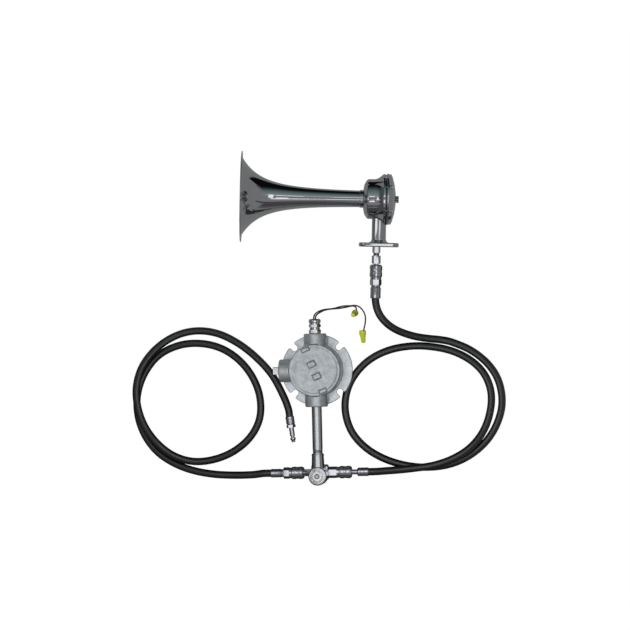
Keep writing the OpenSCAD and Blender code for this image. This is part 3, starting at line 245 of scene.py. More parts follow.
def plated(name, colour, smooth, dull, grime, waves=0.02):
    """Bright plating with hazy patches, fine handling marks and a little grime."""
    finish = Finish(name, metallic=1.0)
    haze = finish.noise(14, 3).step(0.42, 0.72)
    marks = finish.noise(0.9, 2).step(0.55, 0.8)
    spots = finish.noise(5, 4, 0.6).step(0.62, 0.78)
    finish.set(
        base_color=finish.mix(spots * grime, colour, grey(0.6, colour)),
        roughness=smooth + haze * dull + marks * (dull * 0.5),
    )
    return finish.bump(finish.noise(7, 2), waves, 0.35)


# The heights between which the cast box's lighter foot ends and its walls begin
FOOT_FADE = (0.0255, 0.0285)


def cast(name, colour):
    """Sand-cast alloy: mottled, with a fine grain and shallow pits, and lighter on the box's foot."""
    finish = Finish(name, metallic=0.75)
    cloud = finish.noise(11, 4, 0.62)
    grain = finish.noise(1.5, 3, 0.65)
    pits = finish.noise(2.6, 1).step(0.62, 0.74)
    walls = finish.axes()[2].step(*FOOT_FADE)
    levels = ((1.2, 0.8), (1.5, 1.14))
    dark, light = (finish.mix(walls, grey(foot, colour), grey(wall, colour)) for foot, wall in levels)
    tone = finish.mix(cloud.step(0.32, 0.68), dark, light)
    finish.set(
        base_color=finish.mix(grain.step(0.4, 0.7) * 0.35, tone, grey(0.72, colour)),
        roughness=0.33 + grain * 0.14,
    )
    return finish.bump(grain + cloud * 0.8 - pits * 0.5, 0.2, 0.7)


def machined(name, colour, roughness):
    """Turned metal with fine tool marks and slight staining."""
    finish = Finish(name, metallic=1.0)
    stain = finish.noise(9, 3).step(0.45, 0.7)
    marks = finish.noise(0.3, 1)
    finish.set(
        base_color=finish.mix(stain * 0.35, colour, grey(0.72, colour)),
        roughness=roughness + stain * 0.1 + marks * 0.06,
    )
    return finish.bump(marks, 0.015, 0.5)


def pipe_metal(name, colour):
    """Drawn and galvanised pipe: streaked along its length, with a soft spangle."""
    finish = Finish(name, metallic=1.0)
    streak = finish.noise(1.6, 3, stretch=(1, 0.05, 1))
    spangle = finish.noise(4.5, 2, 0.7)
    finish.set(
        base_color=finish.mix(spangle.step(0.35, 0.7) * 0.5, colour, grey(0.82, colour)),
        roughness=0.24 + streak * 0.1,
    )
    return finish.bump(streak, 0.03, 0.4)


def rubber(name, colour, roughness, wrap, depth, gloss=0.5):
    """Rubber with a fine wrapped texture and dusty patches."""
    finish = Finish(name)
    finish.plug(finish.shader.inputs["Specular IOR Level"], gloss)
    dust = finish.noise(40, 4, 0.6).step(0.45, 0.75)
    weave = finish.noise(wrap, 2, 0.6)
    finish.set(
        base_color=finish.mix(dust * 0.35, colour, grey(2.1, colour)),
        roughness=roughness + dust * 0.1 + weave * 0.1,
    )
    return finish.bump(weave, depth, 0.7)


def plastic(name, colour, roughness, grain=1.2):
    """Moulded plastic with a faint texture and slight shade changes."""
    finish = Finish(name)
    shade = finish.noise(8, 3).step(0.35, 0.7)
    finish.set(
        base_color=finish.mix(shade * 0.4, colour, grey(0.78, colour)),
        roughness=roughness + finish.noise(3) * 0.1,
    )
    return finish.bump(finish.noise(grain, 2), 0.03, 0.5)


FINISHES = {}
# The finish of the nodes whose slot's own finish isn't used
OWN_FINISH = {
    "conduit": "conduit_zinc", "gland_body": "gland_nickel", "gland_nut": "gland_nickel", "hub_plug": "gland_nickel",
    "solenoid_housing": "worn_chrome",
}


def make_finishes(colours):
    chrome, nickel, alloy = (tuple(c) for c in (colours.chrome, colours.nickel, colours.alloy))
    FINISHES.update({
        "chrome": plated("Chrome plate", chrome, 0.05, 0.05, 0.25),
        "worn_chrome": plated("Worn chrome plate", chrome, 0.07, 0.08, 0.6, 0.4),
        "bright_steel": plated("Nickel plate", nickel, 0.11, 0.09, 0.5),
        "steel": machined("Plain steel", (0.46, 0.46, 0.47), 0.26),
        "cast_alloy": cast("Cast alloy", alloy),
        "brass": machined("Brass", (0.62, 0.47, 0.2), 0.25),
        "hose_rubber": rubber("Hose rubber", tuple(colours.hose), 0.27, 0.8, 0.06, 1.0),
        "seal_rubber": rubber("Seal rubber", (0.03, 0.03, 0.03), 0.5, 1.5, 0.03),
        "wire_jacket": rubber("Wire jacket", (0.02, 0.02, 0.021), 0.38, 0.6, 0.02),
        "nut_plastic": plastic("Wire nut plastic", tuple(colours.wire_nut), 0.42),
        "coil_tape": plastic("Coil tape", (0.09, 0.09, 0.1), 0.55, 2.0),
        "ground_green": machined("Green screw", (0.12, 0.4, 0.18), 0.35),
        "conduit_zinc": pipe_metal("Conduit zinc", (0.66, 0.68, 0.69)),
        "gland_nickel": plated("Gland nickel", (0.7, 0.7, 0.71), 0.14, 0.1, 0.4),
    })


def finish_of(node, slot):
    """The material of a node in a slot."""
    return FINISHES[OWN_FINISH.get(node, slot)].material


# Modelling

# Corners closer than this are one, what lies closer than this to an end is at it, and faces that meet at less are flat
WELD, NEAR, FLAT = 0.004, 0.01, 0.2


def only(*objects):
    """Selects these objects and nothing else."""
    bpy.ops.object.select_all(action="DESELECT")
    for item in objects:
        item.select_set(True)
    if objects:
        bpy.context.view_layer.objects.active = objects[0]


def added(name, data):
    """A new object in the scene."""
    piece = bpy.data.objects.new(name, data)
    bpy.context.scene.collection.objects.link(piece)
    return piece


def primitive(name, add, **settings):
    """A basic mesh that one of Blender's operators adds, with its place and turn in the mesh."""
    only()
    add(**settings)
    piece = bpy.context.object
    piece.name = name
    bpy.ops.object.transform_apply(location=True, rotation=True, scale=True)
    return piece


def edit(piece):
    only(piece)
    bpy.ops.object.mode_set(mode="EDIT")
    bpy.ops.mesh.select_mode(type="VERT")
    bpy.ops.mesh.select_all(action="DESELECT")


def leave_edit():
    bpy.ops.object.mode_set(mode="OBJECT")


def pick(piece, test, kind="verts"):
    """Selects the corners or edges that pass a test, in edit mode."""
    bpy.ops.mesh.select_mode(type={"verts": "VERT", "edges": "EDGE"}[kind])
    bpy.ops.mesh.select_all(action="DESELECT")
    mesh = bmesh.from_edit_mesh(piece.data)
    for part in getattr(mesh, kind):
        if test(part):
            part.select_set(True)
    mesh.select_flush_mode()
    bmesh.update_edit_mesh(piece.data)


def modify(piece, kind, **settings):
    """Adds a modifier with its settings and applies it."""
    only(piece)
    bpy.ops.object.modifier_add(type=kind)
    modifier = piece.modifiers[-1]
    for key, value in settings.items():
        setattr(modifier, key, value)
    bpy.ops.object.modifier_apply(modifier=modifier.name)


def combine(piece, tool, operation="DIFFERENCE"):
    modify(piece, "BOOLEAN", object=tool, operation=operation, solver="EXACT")
    bpy.data.objects.remove(tool)


def joined(first, *others):
    only(first, *others)
    bpy.ops.object.join()
    return first


def shifted(piece, place):
    piece.data.transform(place)
    return piece


def copied(piece, place):
    """A copy with its own mesh, moved to a place."""
    twin = piece.copy()
    twin.data = piece.data.copy()
    bpy.context.scene.collection.objects.link(twin)
    return shifted(twin, place)


def ringed(piece, count, radius, start=0.0):
    """The piece and its copies, all round the Z axis."""
    places = [spun("Z", start + 360 * i / count) @ moved(radius, 0, 0) for i in range(count)]
    twins = [copied(piece, place) for place in places]
    bpy.data.objects.remove(piece)
    return joined(*twins)


def rounded(outline, closed=False, steps=6):
    """The outline's points. A third number is the radius of the arc that takes a corner's place."""
    points = [Vector((r, 0, z)) for r, z, *_ in outline]
    result = []
    for i, (here, row) in enumerate(zip(points, outline)):
        if len(row) < 3:
            result.append(here)
            continue
        ways = [(other - here).normalized() for other in (points[i - 1], points[(i + 1) % len(points)])]
        half = ways[0].angle(ways[1]) / 2
        centre = here + (ways[0] + ways[1]).normalized() * row[2] / math.sin(half)
        ends = [here + way * row[2] / math.tan(half) - centre for way in ways]
        result += [centre + ends[0].lerp(ends[1], k / steps).normalized() * row[2] for k in range(steps + 1)]
    return result + result[:1] if closed else result


def turned(name, outline, steps=96, closed=False, arc=6):
    """A body turned about Z: one corner is pulled along the outline, and the line is then spun."""
    piece = primitive(name, bpy.ops.mesh.primitive_plane_add, size=1)
    edit(piece)
    bpy.ops.mesh.select_all(action="SELECT")
    bpy.ops.mesh.merge(type="CENTER")
    points = rounded(outline, closed, arc)
    bpy.ops.transform.translate(value=points[0])
    for here, there in zip(points, points[1:]):
        bpy.ops.mesh.extrude_region_move(TRANSFORM_OT_translate={"value": there - here})
    bpy.ops.mesh.select_all(action="SELECT")
    bpy.ops.mesh.spin(steps=steps, angle=math.tau, center=(0, 0, 0), axis=(0, 0, 1))
    tidy_faces()
    return piece


def tidy_faces():
    """Joins doubles, turns the faces outwards and leaves edit mode."""
    bpy.ops.mesh.select_all(action="SELECT")
    bpy.ops.mesh.remove_doubles(threshold=WELD)
    bpy.ops.mesh.normals_make_consistent(inside=False)
    leave_edit()


def block(name, size, middle, bevels=()):
    """A box whose edges along an axis, or across it, are rounded: rows of axis, along or across, radius, steps."""
    piece = primitive(name, bpy.ops.mesh.primitive_cube_add, size=1, location=middle, scale=size)
    for axis, along, radius, steps in bevels:
        edit(piece)
        ends = [middle[axis] - size[axis] / 2, middle[axis] + size[axis] / 2]

        def wanted(edge):
            here, there = (vert.co[axis] for vert in edge.verts)
            if edge.calc_face_angle(0) < FLAT:
                return False
            if along:
                return abs(here - there) > size[axis] * 0.9
            return abs(here - there) < NEAR and min(abs(here - end) for end in ends) < NEAR

        pick(piece, wanted, "edges")
        bpy.ops.mesh.bevel(offset=radius, segments=steps, affect="EDGES")
        tidy_faces()
    return piece


def rod(name, radius, start, end, sides=32):
    """A straight round cutter along Z."""
    return primitive(
        name, bpy.ops.mesh.primitive_cylinder_add, vertices=sides, radius=radius, depth=end - start,
        location=(0, 0, (start + end) / 2),
    )


def hexagon(name, radius, length, start=0.0, edge=0.3):
    """A hexagonal bar with its corners turned down at both ends and its edges eased."""
    bar = primitive(
        name, bpy.ops.mesh.primitive_cylinder_add, vertices=6, radius=radius, depth=length + 2,
        location=(0, 0, length / 2), rotation=(0, 0, math.pi / 6),
    )
    cut = radius * 0.09
    corner = [(0, 0), (radius - cut, 0), (radius, cut), (radius, length - cut), (radius - cut, length), (0, length)]
    combine(bar, turned(name + " corners", corner, 60), "INTERSECT")
    modify(bar, "BEVEL", width=edge, segments=2, limit_method="ANGLE", angle_limit=math.radians(25))
    return shifted(bar, moved(0, 0, start))


def placed(piece, place, smooth=35):
    """Puts the place into the mesh, which is in millimetres until then, and shades it."""
    shifted(piece, place)
    only(piece)
    bpy.ops.object.shade_smooth_by_angle(angle=math.radians(smooth))
    modify(piece, "WEIGHTED_NORMAL", keep_sharp=True, weight=80)
    return piece


def pressed(piece, test, factor):
    """Presses the corners that pass a test in towards the axis."""
    edit(piece)
    pick(piece, test)
    bpy.ops.transform.resize(value=(factor, factor, 1), center_override=(0, 0, 0))
    leave_edit()


def row_of(vert, step):
    """Which row along the axis a corner lies in, counted round it in steps of degrees."""
    return round(math.degrees(math.atan2(vert.co.y, vert.co.x)) / step)


def dress(piece, slot, body=SET, node=None):
    """Gives a finished piece the material of its slot and its body, and hides the CAD node that it stands for: the one
    of its name.
    """
    node = node or piece.name.lower()
    piece.data.materials.clear()
    piece.data.materials.append(finish_of(node, slot))
    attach(piece, body)
    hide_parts(node)


def fitted(piece, place, *dressing, **settings):
    """Puts a modelled piece in its place and dresses it."""
    dress(placed(piece, place), *dressing, **settings)


# The trumpet: the mouth's ring, the length up to the chamber and the wall
RING_W, RING_T, TRUMPET_L, WALL = 9.7, 2, 257, 1.8
# Its flare: a slow rise and, near the mouth, a steeper lip
FLARE_RISE, FLARE_FADE, LIP_FADE = 41.8, 65.6, 25
# The clearance round the pipe in the pieces that hold it
PIPE_GAP = 0.05


def flare(s, sizes):
    """The trumpet's outer radius at a distance from its mouth."""
    lip = sizes.bell - RING_W - sizes.pipe - FLARE_RISE
    return sizes.pipe + FLARE_RISE * math.exp(-s / FLARE_FADE) + lip * math.exp(-s / LIP_FADE)


class Millimetres:
    """The set's radii in millimetres, as the modelling uses them."""

    def __init__(self, settings):
        for name in ("bell", "pipe", "barrel", "chamber", "pedestal", "sleeve", "hose", "wire"):
            setattr(self, name, getattr(settings, name + "_radius") / MM)


def coupler_body(name, collar_l, neck, turn):
    """A coupler's body: socket tube, sleeve guide, hexagonal collar and a neck of radius, length and sides."""
    collar_z = 31
    r, length, sides = neck
    start, end = collar_z + collar_l - 1, collar_z + collar_l + length
    outline = [(0, 0), (8.45, 0, 0.5), (8.45, 22), (11.54, 22), (11.54, collar_z + 0.5), (0, collar_z + 0.5)]
    tube = turned(name, outline, 64)
    collar = shifted(hexagon(name + " collar", 12.3, collar_l, collar_z, 0.5), spun("Z", turn))
    return joined(tube, collar, turned(name + " neck", [(0, start), (r, start), (r, end), (0, end)], sides))


def sleeve(name, r):
    """A coupler's sleeve: two straight-knurled bands with a plain waist between, open at its rear."""
    end, bore, knurl = 26.5, 11.65, 3
    outline = [
        (8.6, 0), (r - 2.6, 0, 0.4), (r - 0.5, 2.4, 0.8), (r - 0.5, 3.6), (r, 4.2), (r, 10), (r - 0.4, 10.8),
        (r - 0.6, 12.2, 0.8), (r - 0.6, 16.2, 0.8), (r - 0.4, 17.3), (r, 18), (r, 23.9), (r - 0.5, 24.5),
        (r - 0.5, end - 1.2, 0.5), (r - 1.7, end), (bore, end), (bore, 9), (8.6, 9),
    ]
    piece = turned(name, outline, 360 // knurl, closed=True, arc=3)
    pressed(piece, lambda vert: vert.co.xy.length > r - 0.02 and row_of(vert, knurl) % 2, 0.99)
    return piece


def ferrule(name, r, length):
    """A crimped ferrule with two pressed grooves, from the fitting's end to the hose's."""
    outline = [(0, 0), (r - 2, 0, 0.5), (r, 2.2, 0.8)]
    for start in (0.25, 0.55):
        for depth, share in ((0, 0), (0.35, 0.03), (0.35, 0.09), (0, 0.12)):
            outline.append((r - depth, length * (start + share), 0.6))
    outline += [(r, length - 1.5, 0.6), (r - 1, length), (8.05, length), (8.05, length - 5), (0, length - 5)]
    return turned(name, outline, 72, arc=4)


def plug(name, hex_r, hex_l, shank_l, rear_r, rear_l):
    """A plug: nose with its locking groove, shank, hexagon and tail."""
    back = -shank_l - hex_l - rear_l
    outline = [
        (0, back), (rear_r, back), (rear_r, -shank_l), (5.3, -shank_l), (5.3, 2.9, 0.5), (3.95, 4.1), (3.95, 6.9),
        (5.9, 7.5, 0.4), (5.9, 10.5, 0.4), (3.9, 13.5), (3.9, 17, 0.6), (0, 17),
    ]
    piece = turned(name, outline, 48, arc=3)
    return joined(piece, hexagon(name + " hexagon", hex_r, hex_l, -shank_l - hex_l)) if hex_l else piece


def cast_copy(name, grain, passes):
    """A copy of the cast CAD node of this name with its edges worn round."""
    piece = added(name, frame["nodes"][name.lower()].data.copy())
    edit(piece)
    bpy.ops.mesh.select_all(action="SELECT")
    bpy.ops.mesh.remove_doubles(threshold=1e-6)
    leave_edit()
    modify(piece, "REMESH", mode="VOXEL", voxel_size=grain * MM)
    modify(piece, "SMOOTH", factor=0.5, iterations=passes)
    only(piece)
    bpy.ops.object.shade_smooth()
    return piece


# Hoses and wires, point by point as the part's source has them. A point without a height lies on the floor
FLOOR_LAY = 8
SUPPLY_ROUTE = [
    (-132, -340.5, 11), (-174, -342), (-219, -340), (-264, -332), (-304, -317), (-340, -293), (-367, -258),
    (-382, -216), (-383, -170), (-367, -124), (-336, -86), (-292, -65), (-246, -61), (-202, -71), (-164, -95),
    (-135, -130), (-118, -173), (-118, -220), (-138, -260), (-174, -291), (-218, -309), (-262, -313, 11),
    (-302, -301, 18), (-336, -275, 25), (-363, -240, 25), (-379, -198, 25), (-382, -152, 25), (-368, -108, 25),
    (-338, -70, 19), (-298, -44, 11), (-254, -34), (-208, -40), (-164, -61), (-125, -91), (-92, -127), (-69, -168),
]
HORN_ROUTE = [
    (152, -330, 17.5), (185, -327, 22.5), (218, -323, 25), (256, -317, 25), (296, -303, 24), (332, -280, 20.5),
    (358, -248, 13.5), (373, -208, 9), (376, -165), (363, -127), (336, -98), (296, -77), (250, -67), (204, -66),
    (158, -75), (118, -95), (88, -125), (70, -161), (66, -203), (79, -246), (108, -280), (148, -304), (194, -318),
    (240, -322), (286, -316), (328, -298), (364, -268), (388, -230), (399, -186), (392, -140), (370, -104),
    (334, -75), (292, -57), (268, -52.2, 8.3), (243, -49.6, 12.6), (218, -45.6, 19.4), (195, -38.8, 27.6),
    (174.5, -29.4, 36.4), (158, -17, 44), (145.6, -1.8, 49.2), (138.3, 15, 51.6),
]
WIRE_A_ROUTE = [
    (8, -1.4, 42.2), (10.7, 1.6, 41.3), (15.8, 5.4, 38.2), (21.9, 8.9, 33), (28.4, 11.2, 26.5), (35.5, 12.5, 18.8),
    (43, 13.2, 11.3), (51, 13.9, 5.7), (60, 15.2, 2.5), (69, 17, 1.7), (77, 18.8, 1.7), (81.5, 19.1, 1.7),
    (84.5, 18.6, 1.7), (86.9, 17.1, 1.7), (88.5, 14.8, 1.7), (89, 12.2, 1.7), (88.5, 9.9, 1.7), (87.6, 7.5, 2.3),
    (86.9, 5.4, 3.9), (86.4, 4.1, 6.3),
]
WIRE_B_ROUTE = [
    (4.8, 0.3, 42.3), (8.6, 4.4, 42), (15.3, 8.4, 40.2), (23.2, 11.2, 35.5), (30.7, 12.4, 29), (38, 13.2, 21.3),
    (45.1, 14.6, 13.9), (51.7, 16.8, 7.8), (59.6, 18.7, 3.6), (68.6, 19.5, 4.3), (76.9, 19.6, 5.2), (84.6, 20.4, 5.3),
    (91.4, 19.3, 4.8), (97.6, 15.6, 3.5), (102.8, 9.6, 2.2), (106.5, 2.5, 1.7), (108.3, -5.2, 1.7), (108.3, -13.5, 2.3),
    (107.3, -21.5, 4.4), (106, -28.5, 6.6), (105.2, -33.2, 7.3), (104.8, -37.7, 7),
]
# How deep a hose sits in its ferrule, the gap between the wires and the length of the gland
HOSE_GRIP = 5.95
WIRE_GAP = 3.8
GLAND_L = 31


def laid(route):
    """The route's points in the frame."""
    return [SOURCE @ Vector((*p, FLOOR_LAY)[:3]) for p in route]


def at(place, z, x=0.0):
    return place @ Vector((x, 0, z))


def cord(name, points, radius, slot):
    """A smooth tube through the points."""
    curve = bpy.data.curves.new(name, "CURVE")
    curve.dimensions = "3D"
    spline = curve.splines.new("BEZIER")
    last = len(points) - 1
    spline.bezier_points.add(last)
    for i, knot in enumerate(spline.bezier_points):
        knot.co = points[i]
        before, after = points[max(i - 1, 0)], points[min(i + 1, last)]
        along = (after - before).normalized()
        knot.handle_left_type = knot.handle_right_type = "FREE"
        knot.handle_left = knot.co - along * (knot.co - before).length / 3
        knot.handle_right = knot.co + along * (after - knot.co).length / 3
    curve.resolution_u = 8
    curve.bevel_depth = radius * MM
    curve.bevel_resolution = 7
    curve.use_fill_caps = True
    piece = added(name, curve)
    length = sum((b - a).length for a, b in zip(points, points[1:]))
    dress(piece, slot)


# Settings and steps


class HornSettings(bpy.types.PropertyGroup):
    """Sizes and colours of the set that a user would change."""

    bell_radius: bpy.props.FloatProperty(
        name="Bell radius", description="Outer radius of the trumpet's mouth", unit="LENGTH",
        default=0.096, min=0.05, max=0.2,
    )
    pipe_radius: bpy.props.FloatProperty(
        name="Pipe radius", description="Outer radius of the trumpet's pipe", unit="LENGTH",
        default=0.0165, min=0.01, max=0.03,
    )
    barrel_radius: bpy.props.FloatProperty(
        name="Barrel radius", description="Radius of the sound chamber's barrel", unit="LENGTH",
        default=0.042, min=0.03, max=0.06,
    )
    chamber_radius: bpy.props.FloatProperty(
        name="Chamber radius", description="Radius of the sound chamber's wide ring", unit="LENGTH",
        default=0.053, min=0.04, max=0.08,
    )
    pedestal_radius: bpy.props.FloatProperty(
        name="Pedestal radius", description="Radius of the horn's pedestal", unit="LENGTH",
        default=0.015, min=0.01, max=0.03,
    )
    sleeve_radius: bpy.props.FloatProperty(
        name="Sleeve radius", description="Radius of the couplers' sleeves", unit="LENGTH",
        default=0.0133, min=0.012, max=0.016,
    )
    hose_radius: bpy.props.FloatProperty(
        name="Hose radius", description="Outer radius of the hoses", unit="LENGTH",
        default=0.008, min=0.004, max=0.01,
    )
    wire_radius: bpy.props.FloatProperty(
        name="Wire radius", description="Outer radius of the wires", unit="LENGTH",
        default=0.0016, min=0.001, max=0.0019,
    )
    camera_distance: bpy.props.FloatProperty(
        name="Camera distance", description="Distance of the camera from the set", unit="LENGTH",
        default=6.0, min=2, max=12,
    )
    picture_width: bpy.props.FloatProperty(
        name="Picture width", description="Width of the view at the set", unit="LENGTH",
        default=1.3419, min=0.5, max=3,
    )
    chrome: bpy.props.FloatVectorProperty(
        name="Chrome", description="Colour of the chrome plate", subtype="COLOR",
        default=(0.56, 0.57, 0.585), min=0, max=1,
    )
    nickel: bpy.props.FloatVectorProperty(
        name="Nickel", description="Colour of the plated fittings", subtype="COLOR",
        default=(0.62, 0.62, 0.63), min=0, max=1,
    )
    alloy: bpy.props.FloatVectorProperty(
        name="Alloy", description="Colour of the cast box", subtype="COLOR",
        default=(0.53, 0.56, 0.575), min=0, max=1,
    )
    hose: bpy.props.FloatVectorProperty(
        name="Hose", description="Colour of the hoses", subtype="COLOR",
        default=(0.003, 0.0032, 0.0035), min=0, max=1,
    )
    wire_nut: bpy.props.FloatVectorProperty(
        name="Wire nut", description="Colour of the wire nuts", subtype="COLOR",
        default=(0.5, 0.56, 0.035), min=0, max=1,
    )


class HORN_OT_camera(bpy.types.Operator):
    """Puts the camera where the photograph was taken from"""

    bl_idname = "air_horn.camera"
    bl_label = "Camera"

    def execute(self, context):
        settings = context.scene.air_horn
        data = bpy.data.cameras.new("Camera")
        camera = added("Camera", data)
        tilt = spun("Y", HORN_TILT)
        camera.location = tilt @ Vector((0, 0, settings.camera_distance)) - ORIGIN * MM
        camera.rotation_mode = "QUATERNION"
        camera.rotation_quaternion = tilt.to_quaternion()
        data.lens = data.sensor_width * settings.camera_distance / settings.picture_width
        data.clip_start, data.clip_end = 0.1, 100
        context.scene.camera = camera
        return {"FINISHED"}


class HORN_OT_finishes(bpy.types.Operator):
    """Makes the materials and gives each CAD node its own"""

    bl_idname = "air_horn.finishes"
    bl_label = "Finishes"

    def execute(self, context):
        make_finishes(context.scene.air_horn)
        slots = {row["node"]: row["material_slot"] for row in frame["record"]["subparts"]}
        for name, node in frame["nodes"].items():
            for slot in node.material_slots:
                slot.material = finish_of(name, slots[name])
        return {"FINISHED"}


class HORN_OT_trumpet(bpy.types.Operator):
    """Spins the flared trumpet and the collar that clamps it"""

    bl_idname = "air_horn.trumpet"
    bl_label = "Trumpet"

    def execute(self, context):
        sizes = Millimetres(context.scene.air_horn)
        # The rows lie closer together near the mouth
        count = 72
        places = [RING_T + (TRUMPET_L - RING_T) * (i / count) ** 1.7 for i in range(count + 1)]
        outer = [(flare(s, sizes), s) for s in places]
        inner = []
        for s in reversed(places[1:]):
            slope = (flare(s + 0.1, sizes) - flare(s - 0.1, sizes)) / 0.2
            wall = WALL / math.hypot(1, slope)
            inner.append((flare(s, sizes) - wall, s + wall * slope))
        end, throat = outer[-1][0], outer[-1][0] - WALL
        outline = [(sizes.bell - 0.6, 0), (sizes.bell, 0.6), (sizes.bell, RING_T, 0.5), *outer]
        outline += [(end, TRUMPET_L + 8), (throat, TRUMPET_L + 8), *inner, (flare(0, sizes) - WALL, 0)]
        dress(placed(turned("Trumpet", outline, 160, closed=True, arc=3), HORN_AXIS, 30), "chrome")
        start = TRUMPET_L - 7
        bore = flare(start, sizes) + PIPE_GAP
        outline = [(bore, start), (bore + 1.2, start, 0.9), (bore + 1.2, TRUMPET_L, 0.3), (bore, TRUMPET_L)]
        fitted(turned("Trumpet_collar", outline, 96, closed=True), HORN_AXIS, "chrome")
        return {"FINISHED"}


class HORN_OT_chamber(bpy.types.Operator):
    """Builds the sound chamber, its pedestal, the mounting flange and the nipple under it"""

    bl_idname = "air_horn.chamber"
    bl_label = "Sound chamber"

    def execute(self, context):
        sizes = Millimetres(context.scene.air_horn)
        fitted(joined(self.barrel(sizes), self.foot(sizes)), Matrix(), "chrome", node="horn_body")
        bar = hexagon("Inlet_nipple", 8.5, 13.4, -0.8, 0.4)
        neck = turned("Nipple neck", [(0, 12), (6.25, 12), (6.25, 19), (0, 19)], 48)
        fitted(joined(bar, neck), inlet(0), "chrome")
        return {"FINISHED"}

    def barrel(self, sizes):
        """The chamber, which widens along an arc up to its ring."""
        barrel, ring, end = sizes.barrel, sizes.chamber, 304.5
        bore = flare(TRUMPET_L, sizes) + PIPE_GAP
        sweep, steps = 78, 16
        widths = [1 - math.cos(math.radians(sweep * i / steps)) for i in range(steps + 1)]
        rise = [(barrel + (ring - barrel) * w / widths[-1], 280 + 19.5 * i / steps) for i, w in enumerate(widths)]
        outline = [
            (bore, TRUMPET_L), (barrel - 11, TRUMPET_L + 2.5, 5), (barrel, TRUMPET_L + 9, 7), *rise,
            (ring, end, 2.2), (36, end), (36, 270), (bore, 270),
        ]
        return shifted(turned("Sound_chamber", outline, 144, closed=True, arc=8), HORN_AXIS)

    def foot(self, sizes):
        """The pedestal with its fillet, on the flange with its four holes and the inlet's spot face."""
        r, curve_r, thick = sizes.pedestal, 8, 9
        angles = [math.radians(9 * i) for i in range(11)]
        fillet = [(r + curve_r * (1 - math.sin(a)), thick + curve_r * (1 - math.cos(a))) for a in angles]
        top = FLANGE_DROP - sizes.barrel / 2
        post = turned("Pedestal", [(0, 1), (r + curve_r, 1), *fillet, (r, top), (0, top)], 96)
        plate = block("Flange", (82.5, 101, thick), (0, 0, thick / 2), [(2, True, 14, 10), (2, False, 2.6, 5)])
        combine(plate, ringed(rod("Hole", 4.25, -1, thick + 1, 40), 4, 39.6, 45))
        combine(plate, shifted(rod("Spot face", 9.7, -1, 0.8, 64), moved(INLET_X - PEDESTAL_X, 0, 0)))
        return shifted(joined(plate, post), FOOT)


class HORN_OT_cover(bpy.types.Operator):
    """Builds the rear cover with the pockets of its six screws"""

    bl_idname = "air_horn.cover"
    bl_label = "Rear cover"

    def execute(self, context):
        start, end = 306.5, 326.2
        outline = [
            (0, 320), (13, 320), (36, 314.5), (36, start), (54, start, 1.8), (54, start + 3.4, 6),
            (49.4, start + 11.4, 6), (31, 323, 12), (13, end - 0.6, 1.5), (0, end - 0.2),
        ]
        cover = turned("Rear_cover", outline, 144)
        combine(cover, ringed(rod("Pocket", 3.7, start + 6, end), 6, 49.3, 30))
        fitted(cover, HORN_AXIS, "chrome")
        fitted(hexagon("Rear_plug", 8.3, 6, end - 0.2, 0.5), HORN_AXIS, "bright_steel")
        return {"FINISHED"}


class HORN_OT_couplers(bpy.types.Operator):
    """Builds the three quick couplers with their plugs, sleeves and ferrules"""

    bl_idname = "air_horn.couplers"
    bl_label = "Couplers"

    def execute(self, context):
        sizes = Millimetres(context.scene.air_horn)
        # Name, place, the collar's length and turn, the neck, the plug's sizes and the ferrule's radius
        rows = (
            ("Horn", HORN_COUPLER, 12.6, 0, (9.8, 3.6, 64), (9.5, 17, 1.8, 6.25, 13.2), 11),
            ("Supply", SUPPLY_COUPLER, 12.6, 30, (8.6, 3.6, 64), (8.6, 13.2, 1.8, 6.25, 5.5), 9.2),
            ("Outlet", OUTLET_COUPLER, 18, 30, (6.25, 5, 48), (0, 0, OUTLET_SHANK, 4.6, 17), 9.2),
        )
        for title, place, collar_l, turn, neck, shape, grip in rows:
            fitted(coupler_body(title + "_coupler", collar_l, neck, turn), place, "chrome")
            fitted(sleeve(title + "_sleeve", sizes.sleeve), place, "chrome", title.lower() + "_sleeve_slider")
            fitted(plug(title + "_plug", *shape), place, "chrome")
            end = place @ moved(0, 0, COUPLER_L)
            if title == "Outlet":
                end = place @ moved(0, 0, -OUTLET_SHANK) @ spun("X", 180)
            fitted(ferrule(title + "_ferrule", grip, FERRULE_L), end, "chrome")
        hex_l, shank_l = 6.5, 14.5
        end = FREE_END @ moved(0, 0, INLET_FERRULE_L) @ spun("X", 180)
        fitted(ferrule("Inlet_ferrule", 9.2, INLET_FERRULE_L), end, "chrome")
        end = FREE_END @ moved(0, 0, INLET_FERRULE_L + hex_l + shank_l)
        fitted(plug("Inlet_plug", 9.8, hex_l, shank_l, 4.6, 11), end, "chrome")
        return {"FINISHED"}


class HORN_OT_box(bpy.types.Operator):
    """Makes the cast junction box and its cover with their edges worn round"""

    bl_idname = "air_horn.box"
    bl_label = "Junction box"

    def execute(self, context):
        dress(cast_copy("Junction_box", 1.1, 3), "cast_alloy")
        dress(cast_copy("Box_cover", 0.8, 2), "cast_alloy", "cover")
        return {"FINISHED"}


